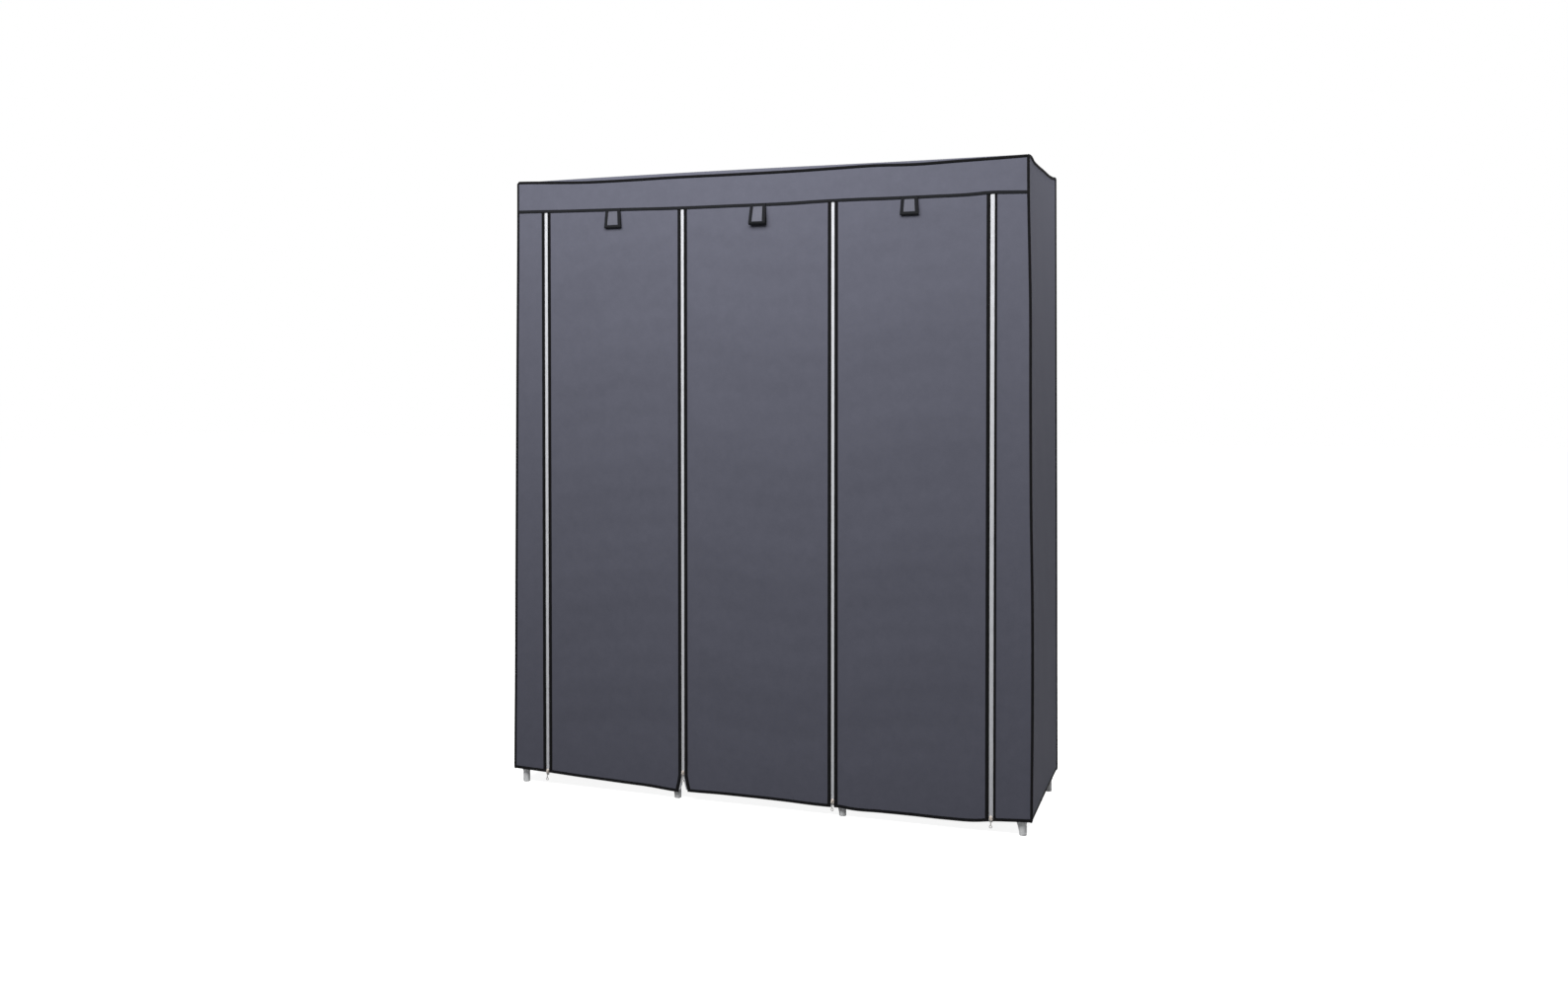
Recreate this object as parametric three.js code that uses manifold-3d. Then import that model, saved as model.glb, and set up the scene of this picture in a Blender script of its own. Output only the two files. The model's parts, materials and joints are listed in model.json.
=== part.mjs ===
// Portable fabric wardrobe: a frame of thin tubes on plastic feet, inside a zipped cloth cover.
// Millimetres, +Z up, the front faces -Y, and the origin lies on the floor under the middle.

import * as THREE from 'three';
import { mergeVertices } from 'three/addons/utils/BufferGeometryUtils.js';
import Module from 'manifold-3d';

const wasm = await Module();
wasm.setup();

// Fits and cuts
const GAP = 0.3;
const OVERRUN = 5;
const TUBE_SIDES = 12;
const PIPING_SIDES = 12;
const ROLL_STEPS = 4;

// Cover, over its piping
const WIDTH = 1500;
const DEPTH = 460;
const HEIGHT = 1750;
const CLOTH = 1.5;
const PIPING_RADIUS = 3.5;
const ROOF_ROLL_RADIUS = 10;
const HEADER_DROP = 90;
const BINDING_HEIGHT = 10;
const BINDING_PROUD = 1.2;

// Height of each lower edge above the floor
const DOOR_HEM_HEIGHT = 26;
const STRIP_HEM_HEIGHT = 40;
const SIDE_HEM_HEIGHT = 48;
const BACK_HEM_HEIGHT = 50;

// Zips, with their sliders and pulls
const ZIP_INSET = 100;
const MIDDLE_DOOR_PITCH = 440;
const ZIP_WIDTH = 12;
const ZIP_SLOT = 2;
const ZIP_BOTTOM_HEIGHT = 30;
const TOP_STOP_LENGTH = 8;
const BOTTOM_STOP_LENGTH = 3;
const BOTTOM_STOP_WIDTH = 3;
const PARKED_SLIDER_HEIGHT = 41;
const OPENED_SLIDER_LIFT = 36;
const SLIDER_WIDTH = 10;
const SLIDER_LENGTH = 12;
const SLIDER_FRONT_PLATE = 1.4;
const SLIDER_BACK_PLATE = 1.2;
const SLIDER_POST_LENGTH = 5;
const BRIDGE_WIDTH = 2;
const BRIDGE_WALL = 1;
const PULL_BAR_RADIUS = 0.8;
const PULL_BAR_SIDES = 8;
const PULL_ARM_WIDTH = 1.7;
const PULL_ARM_LENGTH = 5;
const PULL_THICKNESS = 1.4;
const PULL_LENGTH = 26;
const PULL_EYE_RADIUS = 2.4;
const PULL_EYE_WALL = 1.8;

// Straps that hold the rolled doors
const STRAP_WIDTH = 50;
const STRAP_LENGTH = 58;
const STRAP_THICKNESS = 2;
const STRAP_SEAM_HEIGHT = 5;

// Frame tubes and connectors
const POST_INSET = 20;
const BAY_COUNT = 3;
const TUBE_RADIUS = 8;
const TUBE_WALL = 0.8;
const CONNECTOR_RADIUS = 10.5;
const PEG_LENGTH = 25;
const TOP_CONNECTOR_BELOW = 40;
const TOP_CONNECTOR_ABOVE = 6;
const TOP_CROSS_DROP = 14;

// Feet
const FOOT_RADIUS = 10;
const FOOT_STRAIGHT_HEIGHT = 30;
const FOOT_COLLAR_RADIUS = 12.5;
const FOOT_COLLAR_BOTTOM = 36;
const FOOT_COLLAR_TOP = 44;
const FOOT_NECK_BOTTOM = 48;
const FOOT_HEIGHT = 110;
const BASE_CROSS_HEIGHT = 62;
const BASE_ROD_HEIGHT = 88;

// Shelves and hanging rails
const MIDDLE_SHELF_COUNT = 4;
const SLEEVE = 0.6;
const SHELF_END_CLEARANCE = 2;
const CLIP_WALL = 2.7;
const RAIL_DROP = 18;
const RAIL_CLIP_WIDTH = 14;
const RAIL_CLIP_NECK = 10;
const RAIL_END = 6;

// Planes and levels that the sizes give
const frontPlane = DEPTH / 2 - PIPING_RADIUS;
const sidePlane = WIDTH / 2 - PIPING_RADIUS;
const frontFace = frontPlane + CLOTH / 2;
const frontBack = frontPlane - CLOTH / 2;
const rollCentreHeight = HEIGHT - CLOTH / 2 - ROOF_ROLL_RADIUS;
const rollCentreDepth = frontPlane - ROOF_ROLL_RADIUS;
const roofSkirtHeight = rollCentreHeight - PIPING_RADIUS;
const headerBottom = HEIGHT - HEADER_DROP;
const panelTop = headerBottom - GAP;
const panelEnd = sidePlane - PIPING_RADIUS - GAP;

const outerZip = WIDTH / 2 - ZIP_INSET;
const innerZip = MIDDLE_DOOR_PITCH / 2;
const zipCentres = [-outerZip, -innerZip, innerZip, outerZip];
const strapCentres = [-(outerZip + innerZip) / 2, 0, (outerZip + innerZip) / 2];
const doorNames = ['left', 'middle', 'right'];

const sliderFace = frontFace + GAP + SLIDER_FRONT_PLATE;
const bridgeWindow = PULL_BAR_RADIUS + GAP;
const pullAxisDepth = sliderFace + bridgeWindow;
const frontReach = pullAxisDepth + bridgeWindow + BRIDGE_WALL;
const strapFace = frontFace + BINDING_PROUD + GAP;

const postSide = WIDTH / 2 - POST_INSET;
const postDepth = DEPTH / 2 - POST_INSET;
const bayPitch = (postSide * 2) / BAY_COUNT;
const postSides = Array.from({ length: BAY_COUNT + 1 }, (unused, row) => row * bayPitch - postSide);
const tubeBore = TUBE_RADIUS - TUBE_WALL;
const pegRadius = tubeBore - GAP;
const topRailHeight = HEIGHT - CLOTH - GAP - TUBE_RADIUS;
const topConnectorBottom = topRailHeight - TOP_CONNECTOR_BELOW;
const topCrossHeight = topRailHeight - TOP_CROSS_DROP;
const sleeveRadius = TUBE_RADIUS + SLEEVE;
const clipRadius = TUBE_RADIUS + GAP + CLIP_WALL;
const shelfStep = (topRailHeight - BASE_ROD_HEIGHT) / (MIDDLE_SHELF_COUNT + 1);

// Finishes
const CLOTH_FINISH = { color: 0x64666f, roughness: 0.85, metalness: 0 };
const BINDING_FINISH = { color: 0x1c1c20, roughness: 0.8, metalness: 0 };
const ZIP_FINISH = { color: 0xd6d7da, roughness: 0.6, metalness: 0 };
const SLIDER_FINISH = { color: 0xa9a7a2, roughness: 0.35, metalness: 0.9 };
const TUBE_FINISH = { color: 0x8f9296, roughness: 0.4, metalness: 0.7 };
const PLASTIC_FINISH = { color: 0xc3c4c6, roughness: 0.5, metalness: 0 };
const SHELF_FINISH = { color: 0x5c5e66, roughness: 0.9, metalness: 0 };

// Turns that lay a shape made along Y on another axis
const TURNS = {
  x: new THREE.Matrix4().makeRotationZ(-Math.PI / 2),
  y: new THREE.Matrix4(),
  z: new THREE.Matrix4().makeRotationX(Math.PI / 2),
};

function solidOf(geometry) {
  geometry.deleteAttribute('normal');
  geometry.deleteAttribute('uv');
  const merged = mergeVertices(geometry);
  const mesh = new wasm.Mesh({
    numProp: 3,
    vertProperties: Float32Array.from(merged.attributes.position.array),
    triVerts: Uint32Array.from(merged.index.array),
  });
  return new wasm.Manifold(mesh);
}

function geometryOf(solid) {
  const mesh = solid.getMesh();
  const geometry = new THREE.BufferGeometry();
  geometry.setAttribute('position', new THREE.Float32BufferAttribute(mesh.vertProperties, 3));
  geometry.setIndex(Array.from(mesh.triVerts));
  geometry.computeVertexNormals();
  return geometry;
}

function joined(...solids) {
  return solids.reduce((whole, solid) => whole.add(solid));
}

// A block between its lowest and its highest corner
function block(low, high) {
  const size = high.map((value, axis) => value - low[axis]);
  const geometry = new THREE.BoxGeometry(...size);
  geometry.translate(...low.map((value, axis) => value + size[axis] / 2));
  return solidOf(geometry);
}

function rod(axis, start, length, radius, sides = TUBE_SIDES) {
  const geometry = new THREE.CylinderGeometry(radius, radius, length, sides);
  geometry.translate(0, length / 2, 0);
  geometry.applyMatrix4(TURNS[axis]);
  geometry.translate(...start);
  return solidOf(geometry);
}

// The bore of a tube that starts at the same place, run past both of its ends
function bore(axis, start, length, radius = tubeBore) {
  const index = ['x', 'y', 'z'].indexOf(axis);
  const before = start.map((value, place) => (place === index ? value - OVERRUN : value));
  return rod(axis, before, length + OVERRUN * 2, radius);
}

function pipe(axis, start, length) {
  return rod(axis, start, length, TUBE_RADIUS).subtract(bore(axis, start, length));
}

const wardrobe = new THREE.Group();

function addPiece(name, solid, finish, place = [0, 0, 0]) {
  const mesh = new THREE.Mesh(geometryOf(solid), new THREE.MeshStandardMaterial(finish));
  mesh.name = name;
  mesh.position.set(...place);
  wardrobe.add(mesh);
}

// Roof: cloth that rolls over the front and rear rails, with piping all round
function roofShape() {
  const outer = ROOF_ROLL_RADIUS + CLOTH / 2;
  const inner = ROOF_ROLL_RADIUS - CLOTH / 2;
  const right = Math.PI / 2;
  const section = new THREE.Shape();
  section.moveTo(-rollCentreDepth - outer, rollCentreHeight);
  section.absarc(-rollCentreDepth, rollCentreHeight, outer, Math.PI, right, true);
  section.absarc(rollCentreDepth, rollCentreHeight, outer, right, 0, true);
  section.absarc(rollCentreDepth, rollCentreHeight, inner, 0, right, false);
  section.absarc(-rollCentreDepth, rollCentreHeight, inner, right, Math.PI, false);
  const geometry = new THREE.ExtrudeGeometry(section, {
    depth: sidePlane * 2,
    bevelEnabled: false,
    curveSegments: ROLL_STEPS,
  });
  const across = new THREE.Vector3(1, 0, 0);
  const back = new THREE.Vector3(0, 1, 0);
  const up = new THREE.Vector3(0, 0, 1);
  geometry.applyMatrix4(new THREE.Matrix4().makeBasis(back, up, across));
  geometry.translate(-sidePlane, 0, 0);
  const parts = [solidOf(geometry)];
  for (const side of [-1, 1]) {
    const edgeStart = [-sidePlane, side * frontPlane, rollCentreHeight];
    parts.push(rod('x', edgeStart, sidePlane * 2, PIPING_RADIUS, PIPING_SIDES));
    const sideStart = [side * sidePlane, -rollCentreDepth, HEIGHT - PIPING_RADIUS];
    parts.push(rod('y', sideStart, rollCentreDepth * 2, PIPING_RADIUS, PIPING_SIDES));
    parts.push(block(
      [side * sidePlane - CLOTH / 2, -rollCentreDepth, roofSkirtHeight],
      [side * sidePlane + CLOTH / 2, rollCentreDepth, HEIGHT - PIPING_RADIUS],
    ));
  }
  return joined(...parts);
}

// A side of the cover: one panel from front to rear with piping up both corners
function sideShape() {
  const rise = roofSkirtHeight - GAP - SIDE_HEM_HEIGHT;
  const panel = block(
    [-CLOTH / 2, -frontPlane, SIDE_HEM_HEIGHT],
    [CLOTH / 2, frontPlane, SIDE_HEM_HEIGHT + rise],
  );
  const frontPiping = rod('z', [0, -frontPlane, SIDE_HEM_HEIGHT], rise, PIPING_RADIUS, PIPING_SIDES);
  const rearPiping = rod('z', [0, frontPlane, SIDE_HEM_HEIGHT], rise, PIPING_RADIUS, PIPING_SIDES);
  return joined(panel, frontPiping, rearPiping);
}

function frontSheet(left, right, bottom, top, proud = 0) {
  return block([left, -frontFace - proud, bottom], [right, -frontBack + proud, top]);
}

function addCover() {
  addPiece('roof_panel', roofShape(), CLOTH_FINISH);
  addPiece('left_side_panel', sideShape(), CLOTH_FINISH, [-sidePlane, 0, 0]);
  addPiece('right_side_panel', sideShape(), CLOTH_FINISH, [sidePlane, 0, 0]);
  const backPanel = block(
    [-panelEnd, frontBack, BACK_HEM_HEIGHT],
    [panelEnd, frontFace, roofSkirtHeight - GAP],
  );
  addPiece('back_panel', backPanel, CLOTH_FINISH);
  const header = joined(
    frontSheet(-panelEnd, panelEnd, headerBottom, roofSkirtHeight - GAP),
    frontSheet(-panelEnd, panelEnd, headerBottom, headerBottom + BINDING_HEIGHT, BINDING_PROUD),
  );
  addPiece('header_band', header, CLOTH_FINISH);
  const stripEnd = outerZip + ZIP_WIDTH / 2 + GAP;
  const leftStrip = frontSheet(-panelEnd, -stripEnd, STRIP_HEM_HEIGHT, panelTop);
  const rightStrip = frontSheet(stripEnd, panelEnd, STRIP_HEM_HEIGHT, panelTop);
  addPiece('left_front_strip', leftStrip, CLOTH_FINISH);
  addPiece('right_front_strip', rightStrip, CLOTH_FINISH);
}

// Each door: the cloth that rolls up, and the bound hem that leads it
function addDoors() {
  doorNames.forEach((name, index) => {
    const left = zipCentres[index] + ZIP_WIDTH / 2 + GAP;
    const right = zipCentres[index + 1] - ZIP_WIDTH / 2 - GAP;
    const hemTop = DOOR_HEM_HEIGHT + BINDING_HEIGHT;
    addPiece(`${name}_door_curtain`, frontSheet(left, right, hemTop + GAP, panelTop), CLOTH_FINISH);
    const hem = frontSheet(left, right, DOOR_HEM_HEIGHT, hemTop, BINDING_PROUD);
    addPiece(`${name}_door_hem`, hem, BINDING_FINISH);
  });
}

// Two tapes side by side, joined by the top stop, with a bottom stop on each
function zipShape() {
  const half = ZIP_WIDTH / 2;
  const slot = ZIP_SLOT / 2;
  const stopTop = PARKED_SLIDER_HEIGHT - SLIDER_LENGTH / 2 - GAP;
  const parts = [frontSheet(-half, half, panelTop - TOP_STOP_LENGTH, panelTop)];
  for (const side of [-1, 1]) {
    const edges = [side * slot, side * half].sort((a, b) => a - b);
    const stopEdges = [side * slot, side * (slot + BOTTOM_STOP_WIDTH)].sort((a, b) => a - b);
    parts.push(frontSheet(...edges, ZIP_BOTTOM_HEIGHT, panelTop));
    parts.push(frontSheet(...stopEdges, stopTop - BOTTOM_STOP_LENGTH, stopTop, BINDING_PROUD));
  }
  return joined(...parts);
}

// The slider clasps both tapes. Its post parts them at the lower end, and its bridge holds the pull
function sliderShape() {
  const half = SLIDER_WIDTH / 2;
  const reach = SLIDER_LENGTH / 2;
  const postHalf = ZIP_SLOT / 2 - GAP;
  const backFace = frontBack - GAP - SLIDER_BACK_PLATE;
  const bridgeHalf = bridgeWindow + BRIDGE_WALL;
  const body = joined(
    block([-half, -sliderFace, -reach], [half, -frontFace - GAP, reach]),
    block([-half, -frontBack + GAP, -reach], [half, -backFace, reach]),
    block([-postHalf, -sliderFace, -reach], [postHalf, -backFace, SLIDER_POST_LENGTH - reach]),
    block([-BRIDGE_WIDTH / 2, -frontReach, -bridgeHalf], [BRIDGE_WIDTH / 2, -sliderFace, bridgeHalf]),
  );
  const window = block(
    [-BRIDGE_WIDTH / 2 - OVERRUN, -pullAxisDepth - bridgeWindow, -bridgeWindow],
    [BRIDGE_WIDTH / 2 + OVERRUN, -sliderFace, bridgeWindow],
  );
  return body.subtract(window);
}

// The pull turns on a bar under the bridge and ends in an eye
function pullShape() {
  const armInner = BRIDGE_WIDTH / 2 + GAP;
  const armOuter = armInner + PULL_ARM_WIDTH;
  const thick = PULL_THICKNESS / 2;
  const eyeRadius = PULL_EYE_RADIUS + PULL_EYE_WALL;
  const eyeHeight = eyeRadius - PULL_LENGTH;
  const parts = [
    rod('x', [-armOuter, 0, 0], armOuter * 2, PULL_BAR_RADIUS, PULL_BAR_SIDES),
    block([-armInner, -thick, eyeHeight + PULL_EYE_RADIUS], [armInner, thick, -PULL_ARM_LENGTH]),
    block([-armOuter, -thick, -PULL_ARM_LENGTH - PULL_ARM_WIDTH], [armOuter, thick, -PULL_ARM_LENGTH]),
    rod('y', [0, -thick, eyeHeight], PULL_THICKNESS, eyeRadius),
  ];
  for (const side of [-1, 1]) {
    const edges = [side * armInner, side * armOuter].sort((a, b) => a - b);
    parts.push(block([edges[0], -thick, -PULL_ARM_LENGTH], [edges[1], thick, 0]));
  }
  const eye = bore('y', [0, -thick, eyeHeight], PULL_THICKNESS, PULL_EYE_RADIUS);
  return joined(...parts).subtract(eye);
}

function addZips() {
  const heights = zipCentres.map(() => PARKED_SLIDER_HEIGHT);
  heights[1] += OPENED_SLIDER_LIFT;
  zipCentres.forEach((centre, index) => {
    const number = index + 1;
    addPiece(`zip_tape_${number}`, zipShape(), ZIP_FINISH, [centre, 0, 0]);
    addPiece(`zip_slider_${number}`, sliderShape(), SLIDER_FINISH, [centre, 0, heights[index]]);
    const pullPlace = [centre, -pullAxisDepth, heights[index]];
    addPiece(`zip_pull_${number}`, pullShape(), SLIDER_FINISH, pullPlace);
  });
}

// Straps hang from the binding of the header, one over each door
function addStraps() {
  doorNames.forEach((name, index) => {
    const centre = strapCentres[index];
    const top = headerBottom + STRAP_SEAM_HEIGHT;
    const strap = block(
      [centre - STRAP_WIDTH / 2, -strapFace - STRAP_THICKNESS, top - STRAP_LENGTH],
      [centre + STRAP_WIDTH / 2, -strapFace, top],
    );
    addPiece(`${name}_door_strap`, strap, BINDING_FINISH);
  });
}

// The moulded foot of the post in a row: a leg, a collar, and pegs that the tubes push onto
function footShape(row, inward) {
  const profile = [
    [0, 0],
    [FOOT_RADIUS, 0],
    [FOOT_RADIUS, FOOT_STRAIGHT_HEIGHT],
    [FOOT_COLLAR_RADIUS, FOOT_COLLAR_BOTTOM],
    [FOOT_COLLAR_RADIUS, FOOT_COLLAR_TOP],
    [CONNECTOR_RADIUS, FOOT_NECK_BOTTOM],
    [CONNECTOR_RADIUS, FOOT_HEIGHT],
    [0, FOOT_HEIGHT],
  ];
  const points = profile.map(([radius, height]) => new THREE.Vector2(radius, height));
  const leg = new THREE.LatheGeometry(points, TUBE_SIDES);
  leg.applyMatrix4(TURNS.z);
  const reach = CONNECTOR_RADIUS + PEG_LENGTH;
  const crossStart = inward > 0 ? 0 : -reach;
  const parts = [solidOf(leg), rod('y', [0, crossStart, BASE_CROSS_HEIGHT], reach, pegRadius)];
  if (row > 0) parts.push(rod('x', [-reach, 0, BASE_ROD_HEIGHT], reach, pegRadius));
  if (row < BAY_COUNT) parts.push(rod('x', [0, 0, BASE_ROD_HEIGHT], reach, pegRadius));
  return joined(...parts);
}

// Front posts stand on separate feet; each rear post is joined to its foot
function addPosts() {
  const start = FOOT_HEIGHT + GAP;
  const length = topConnectorBottom - GAP - start;
  postSides.forEach((side, row) => {
    const number = row + 1;
    const upPeg = rod('z', [0, 0, FOOT_HEIGHT - PEG_LENGTH], PEG_LENGTH * 2, pegRadius);
    const frontFoot = footShape(row, 1).add(upPeg);
    addPiece(`front_foot_${number}`, frontFoot, PLASTIC_FINISH, [side, -postDepth, 0]);
    addPiece(`front_post_${number}`, pipe('z', [0, 0, start], length), TUBE_FINISH, [side, -postDepth, 0]);
    const rearTube = pipe('z', [0, 0, FOOT_HEIGHT], length + GAP);
    const rearPost = footShape(row, -1).add(upPeg).add(rearTube);
    addPiece(`rear_post_${number}`, rearPost, TUBE_FINISH, [side, postDepth, 0]);
  });
}

// Tubes from front to rear, between the feet and between the top rails
function addCrossTubes() {
  const reach = postDepth - CONNECTOR_RADIUS - GAP;
  const levels = { base: BASE_CROSS_HEIGHT, top: topCrossHeight };
  postSides.forEach((side, row) => {
    for (const [level, height] of Object.entries(levels)) {
      const tube = pipe('y', [0, -reach, 0], reach * 2);
      addPiece(`${level}_cross_tube_${row + 1}`, tube, TUBE_FINISH, [side, 0, height]);
    }
  });
}

// A top rail: three tube lengths and the connectors between them, pushed onto four posts
function topRailShape(inward) {
  const length = postSide * 2;
  const connectorLength = TOP_CONNECTOR_BELOW + TOP_CONNECTOR_ABOVE;
  const reach = CONNECTOR_RADIUS + PEG_LENGTH;
  const pegStart = inward > 0 ? 0 : -reach;
  const parts = [rod('x', [-postSide, 0, 0], length, TUBE_RADIUS)];
  for (const side of postSides) {
    parts.push(rod('z', [side, 0, -TOP_CONNECTOR_BELOW], connectorLength, CONNECTOR_RADIUS));
    parts.push(rod('z', [side, 0, -TOP_CONNECTOR_BELOW - PEG_LENGTH], PEG_LENGTH * 2, pegRadius));
    parts.push(rod('y', [side, pegStart, -TOP_CROSS_DROP], reach, pegRadius));
  }
  const boreStart = [-postSide - CONNECTOR_RADIUS, 0, 0];
  return joined(...parts).subtract(bore('x', boreStart, length + CONNECTOR_RADIUS * 2));
}

function addTopRails() {
  addPiece('top_front_rail', topRailShape(1), TUBE_FINISH, [0, -postDepth, topRailHeight]);
  addPiece('top_rear_rail', topRailShape(-1), TUBE_FINISH, [0, postDepth, topRailHeight]);
}

// A cloth shelf sewn round two rods, its rods at the height of the piece's own origin
function shelfShape(halfCloth, halfRod) {
  const parts = [block(
    [-halfCloth, -postDepth, sleeveRadius - CLOTH],
    [halfCloth, postDepth, sleeveRadius],
  )];
  for (const side of [-1, 1]) {
    parts.push(rod('x', [-halfRod, side * postDepth, 0], halfRod * 2, sleeveRadius));
  }
  return joined(...parts);
}

function withRodBores(shelf, halfRod) {
  const cuts = [-1, 1].map((side) => bore('x', [-halfRod, side * postDepth, 0], halfRod * 2));
  return cuts.reduce((whole, cut) => whole.subtract(cut), shelf);
}

function addShelves() {
  const baseRod = bayPitch / 2 - CONNECTOR_RADIUS - GAP;
  doorNames.forEach((name, index) => {
    const centre = (postSides[index] + postSides[index + 1]) / 2;
    const cloth = shelfShape(baseRod - SHELF_END_CLEARANCE, baseRod);
    const place = [centre, 0, BASE_ROD_HEIGHT];
    addPiece(`${name}_base_shelf`, withRodBores(cloth, baseRod), SHELF_FINISH, place);
  });
  const clipEnd = bayPitch / 2;
  const clothEnd = clipEnd - TUBE_RADIUS - SHELF_END_CLEARANCE;
  for (let level = 1; level <= MIDDLE_SHELF_COUNT; level += 1) {
    let shelf = shelfShape(clothEnd, clipEnd);
    const holes = [];
    for (const side of [-1, 1]) {
      for (const depth of [-postDepth, postDepth]) {
        const start = [side * clipEnd, depth, -sleeveRadius];
        shelf = shelf.add(rod('z', start, sleeveRadius * 2, clipRadius));
        holes.push(bore('z', start, sleeveRadius * 2, TUBE_RADIUS + GAP));
      }
    }
    const place = [0, 0, BASE_ROD_HEIGHT + level * shelfStep];
    const bored = withRodBores(shelf, clipEnd - TUBE_RADIUS);
    const finished = holes.reduce((whole, hole) => whole.subtract(hole), bored);
    addPiece(`middle_shelf_${level}`, finished, SHELF_FINISH, place);
  }
}

// A hanging rail clipped under the top cross tubes at both sides of its bay
function railShape() {
  const half = bayPitch / 2;
  const start = [-half - RAIL_END, 0, -RAIL_DROP];
  const length = (half + RAIL_END) * 2;
  const parts = [rod('x', start, length, TUBE_RADIUS)];
  const cuts = [bore('x', start, length)];
  for (const side of [-1, 1]) {
    const ringStart = [side * half, -RAIL_CLIP_WIDTH / 2, 0];
    parts.push(rod('y', ringStart, RAIL_CLIP_WIDTH, clipRadius));
    parts.push(block(
      [side * half - RAIL_CLIP_NECK / 2, -RAIL_CLIP_WIDTH / 2, -RAIL_DROP],
      [side * half + RAIL_CLIP_NECK / 2, RAIL_CLIP_WIDTH / 2, -TUBE_RADIUS],
    ));
    cuts.push(bore('y', ringStart, RAIL_CLIP_WIDTH, TUBE_RADIUS + GAP));
  }
  return cuts.reduce((whole, cut) => whole.subtract(cut), joined(...parts));
}

function addHangingRails() {
  const centre = (postSide + bayPitch / 2) / 2;
  addPiece('left_hanging_rail', railShape(), TUBE_FINISH, [-centre, 0, topCrossHeight]);
  addPiece('right_hanging_rail', railShape(), TUBE_FINISH, [centre, 0, topCrossHeight]);
}

addCover();
addDoors();
addZips();
addStraps();
addPosts();
addCrossTubes();
addTopRails();
addShelves();
addHangingRails();

// The slider bridges stand out past the front piping, so the model sits back by half of that
wardrobe.position.y = (frontReach - DEPTH / 2) / 2;

export default wardrobe;
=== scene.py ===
# The looks of a portable fabric wardrobe, in metres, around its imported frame.

import json
from math import atan2, cos, hypot, pi, radians, sin

import bpy
import numpy as np
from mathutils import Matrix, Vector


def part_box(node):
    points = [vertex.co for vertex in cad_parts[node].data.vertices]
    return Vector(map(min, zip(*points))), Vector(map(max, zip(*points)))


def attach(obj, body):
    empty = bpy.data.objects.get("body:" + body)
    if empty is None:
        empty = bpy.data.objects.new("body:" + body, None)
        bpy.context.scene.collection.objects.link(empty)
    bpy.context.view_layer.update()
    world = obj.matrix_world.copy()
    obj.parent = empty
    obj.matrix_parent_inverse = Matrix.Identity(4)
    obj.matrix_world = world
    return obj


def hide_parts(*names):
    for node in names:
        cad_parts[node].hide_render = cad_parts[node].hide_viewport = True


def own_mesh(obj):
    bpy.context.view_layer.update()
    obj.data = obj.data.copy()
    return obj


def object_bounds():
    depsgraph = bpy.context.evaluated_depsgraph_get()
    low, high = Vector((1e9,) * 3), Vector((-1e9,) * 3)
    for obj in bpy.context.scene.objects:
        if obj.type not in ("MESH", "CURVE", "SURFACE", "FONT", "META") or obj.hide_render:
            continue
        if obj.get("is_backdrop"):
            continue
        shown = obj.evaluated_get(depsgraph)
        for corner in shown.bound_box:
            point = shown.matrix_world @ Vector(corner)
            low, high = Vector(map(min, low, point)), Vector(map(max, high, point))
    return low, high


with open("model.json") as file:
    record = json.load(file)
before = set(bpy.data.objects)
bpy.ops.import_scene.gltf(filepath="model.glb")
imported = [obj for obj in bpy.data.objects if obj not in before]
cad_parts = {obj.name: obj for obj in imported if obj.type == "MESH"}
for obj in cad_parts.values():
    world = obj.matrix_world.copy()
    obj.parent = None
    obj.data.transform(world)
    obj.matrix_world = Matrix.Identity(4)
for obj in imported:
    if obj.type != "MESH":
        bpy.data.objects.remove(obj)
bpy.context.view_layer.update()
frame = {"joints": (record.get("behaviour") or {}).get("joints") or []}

# Camera: level lines of the photograph, fitted to the cover's corners and the feet
CAMERA_PLACE = (1.328, -3.682, 1.128)
CAMERA_YAW = 19.84
CAMERA_TILT = 1.06
CAMERA_LENS = 31.07
CAMERA_SHIFT = -0.045

camera_data = bpy.data.cameras.new("photograph_camera")
camera_data.sensor_width = 36
camera_data.lens = CAMERA_LENS
camera_data.shift_y = CAMERA_SHIFT
camera = bpy.data.objects.new("photograph_camera", camera_data)
camera.location = CAMERA_PLACE
camera.rotation_euler = (radians(90 - CAMERA_TILT), 0, radians(CAMERA_YAW))
bpy.context.scene.collection.objects.link(camera)
bpy.context.scene.camera = camera

# Cloth and its edgings
CLOTH = 0.0005
SLOT_GAP = 0.0001
BINDING = 0.0005
RIBBON_EDGE = 0.0002
PIPING = 0.0037
PIPING_DROP = 0.0015
FRONT_PIPING_RADIUS = 0.0043
CORNER_BEND = (0.008, 0.003)
HEM_WIDTH = 0.0078
HEADER_BINDING_WIDTH = 0.007
STITCH_LENGTH = 0.003
STITCH_PITCH = 0.0046
STITCH_THICK = 0.0005
STITCH_INSET = 0.0016

# Zips
ZIP_SHOWN = (0.0094, 0.0088, 0.0086, 0.011)
ZIP_BINDING_WIDTH = 0.01
LAST_BINDING_WIDTH = 0.0066
TAPE = 0.0005
TAPE_HIDDEN = 0.003
TAPE_CUT = 0.0012
TAPE_START = 0.0004
TAPE_UNDER_TEETH = 0.0026
TEETH_START = 0.0055
TEETH_END = 0.004
TOOTH_ASIDE = 0.0009
TOOTH_SHARE = 0.62
TOOTH_LENGTH = 0.0028
TOOTH_THICK = 0.0014
TOOTH_DEPTH = 0.0005
STOP_SIZE = (0.0034, 0.003, 0.0019)
STOP_PLACE = (0.0021, 0.0032)
OPEN_TOP = 0.07
OPEN_SPREAD = 0.0086
OPEN_REACH = 0.12
OPEN_DIP = 0.0035

# The front cloth's place behind the front of its solid, and how it passes behind the header
FACE_INSET = 0.0004
TUCK_START = 0.0036
TUCK_SPAN = 0.0026
TUCK_DEPTH = 0.0006
TUCK_TOP = 1.668
TUCK_CURVE = 1.63
HEADER_PROUD = 0.0013

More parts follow.
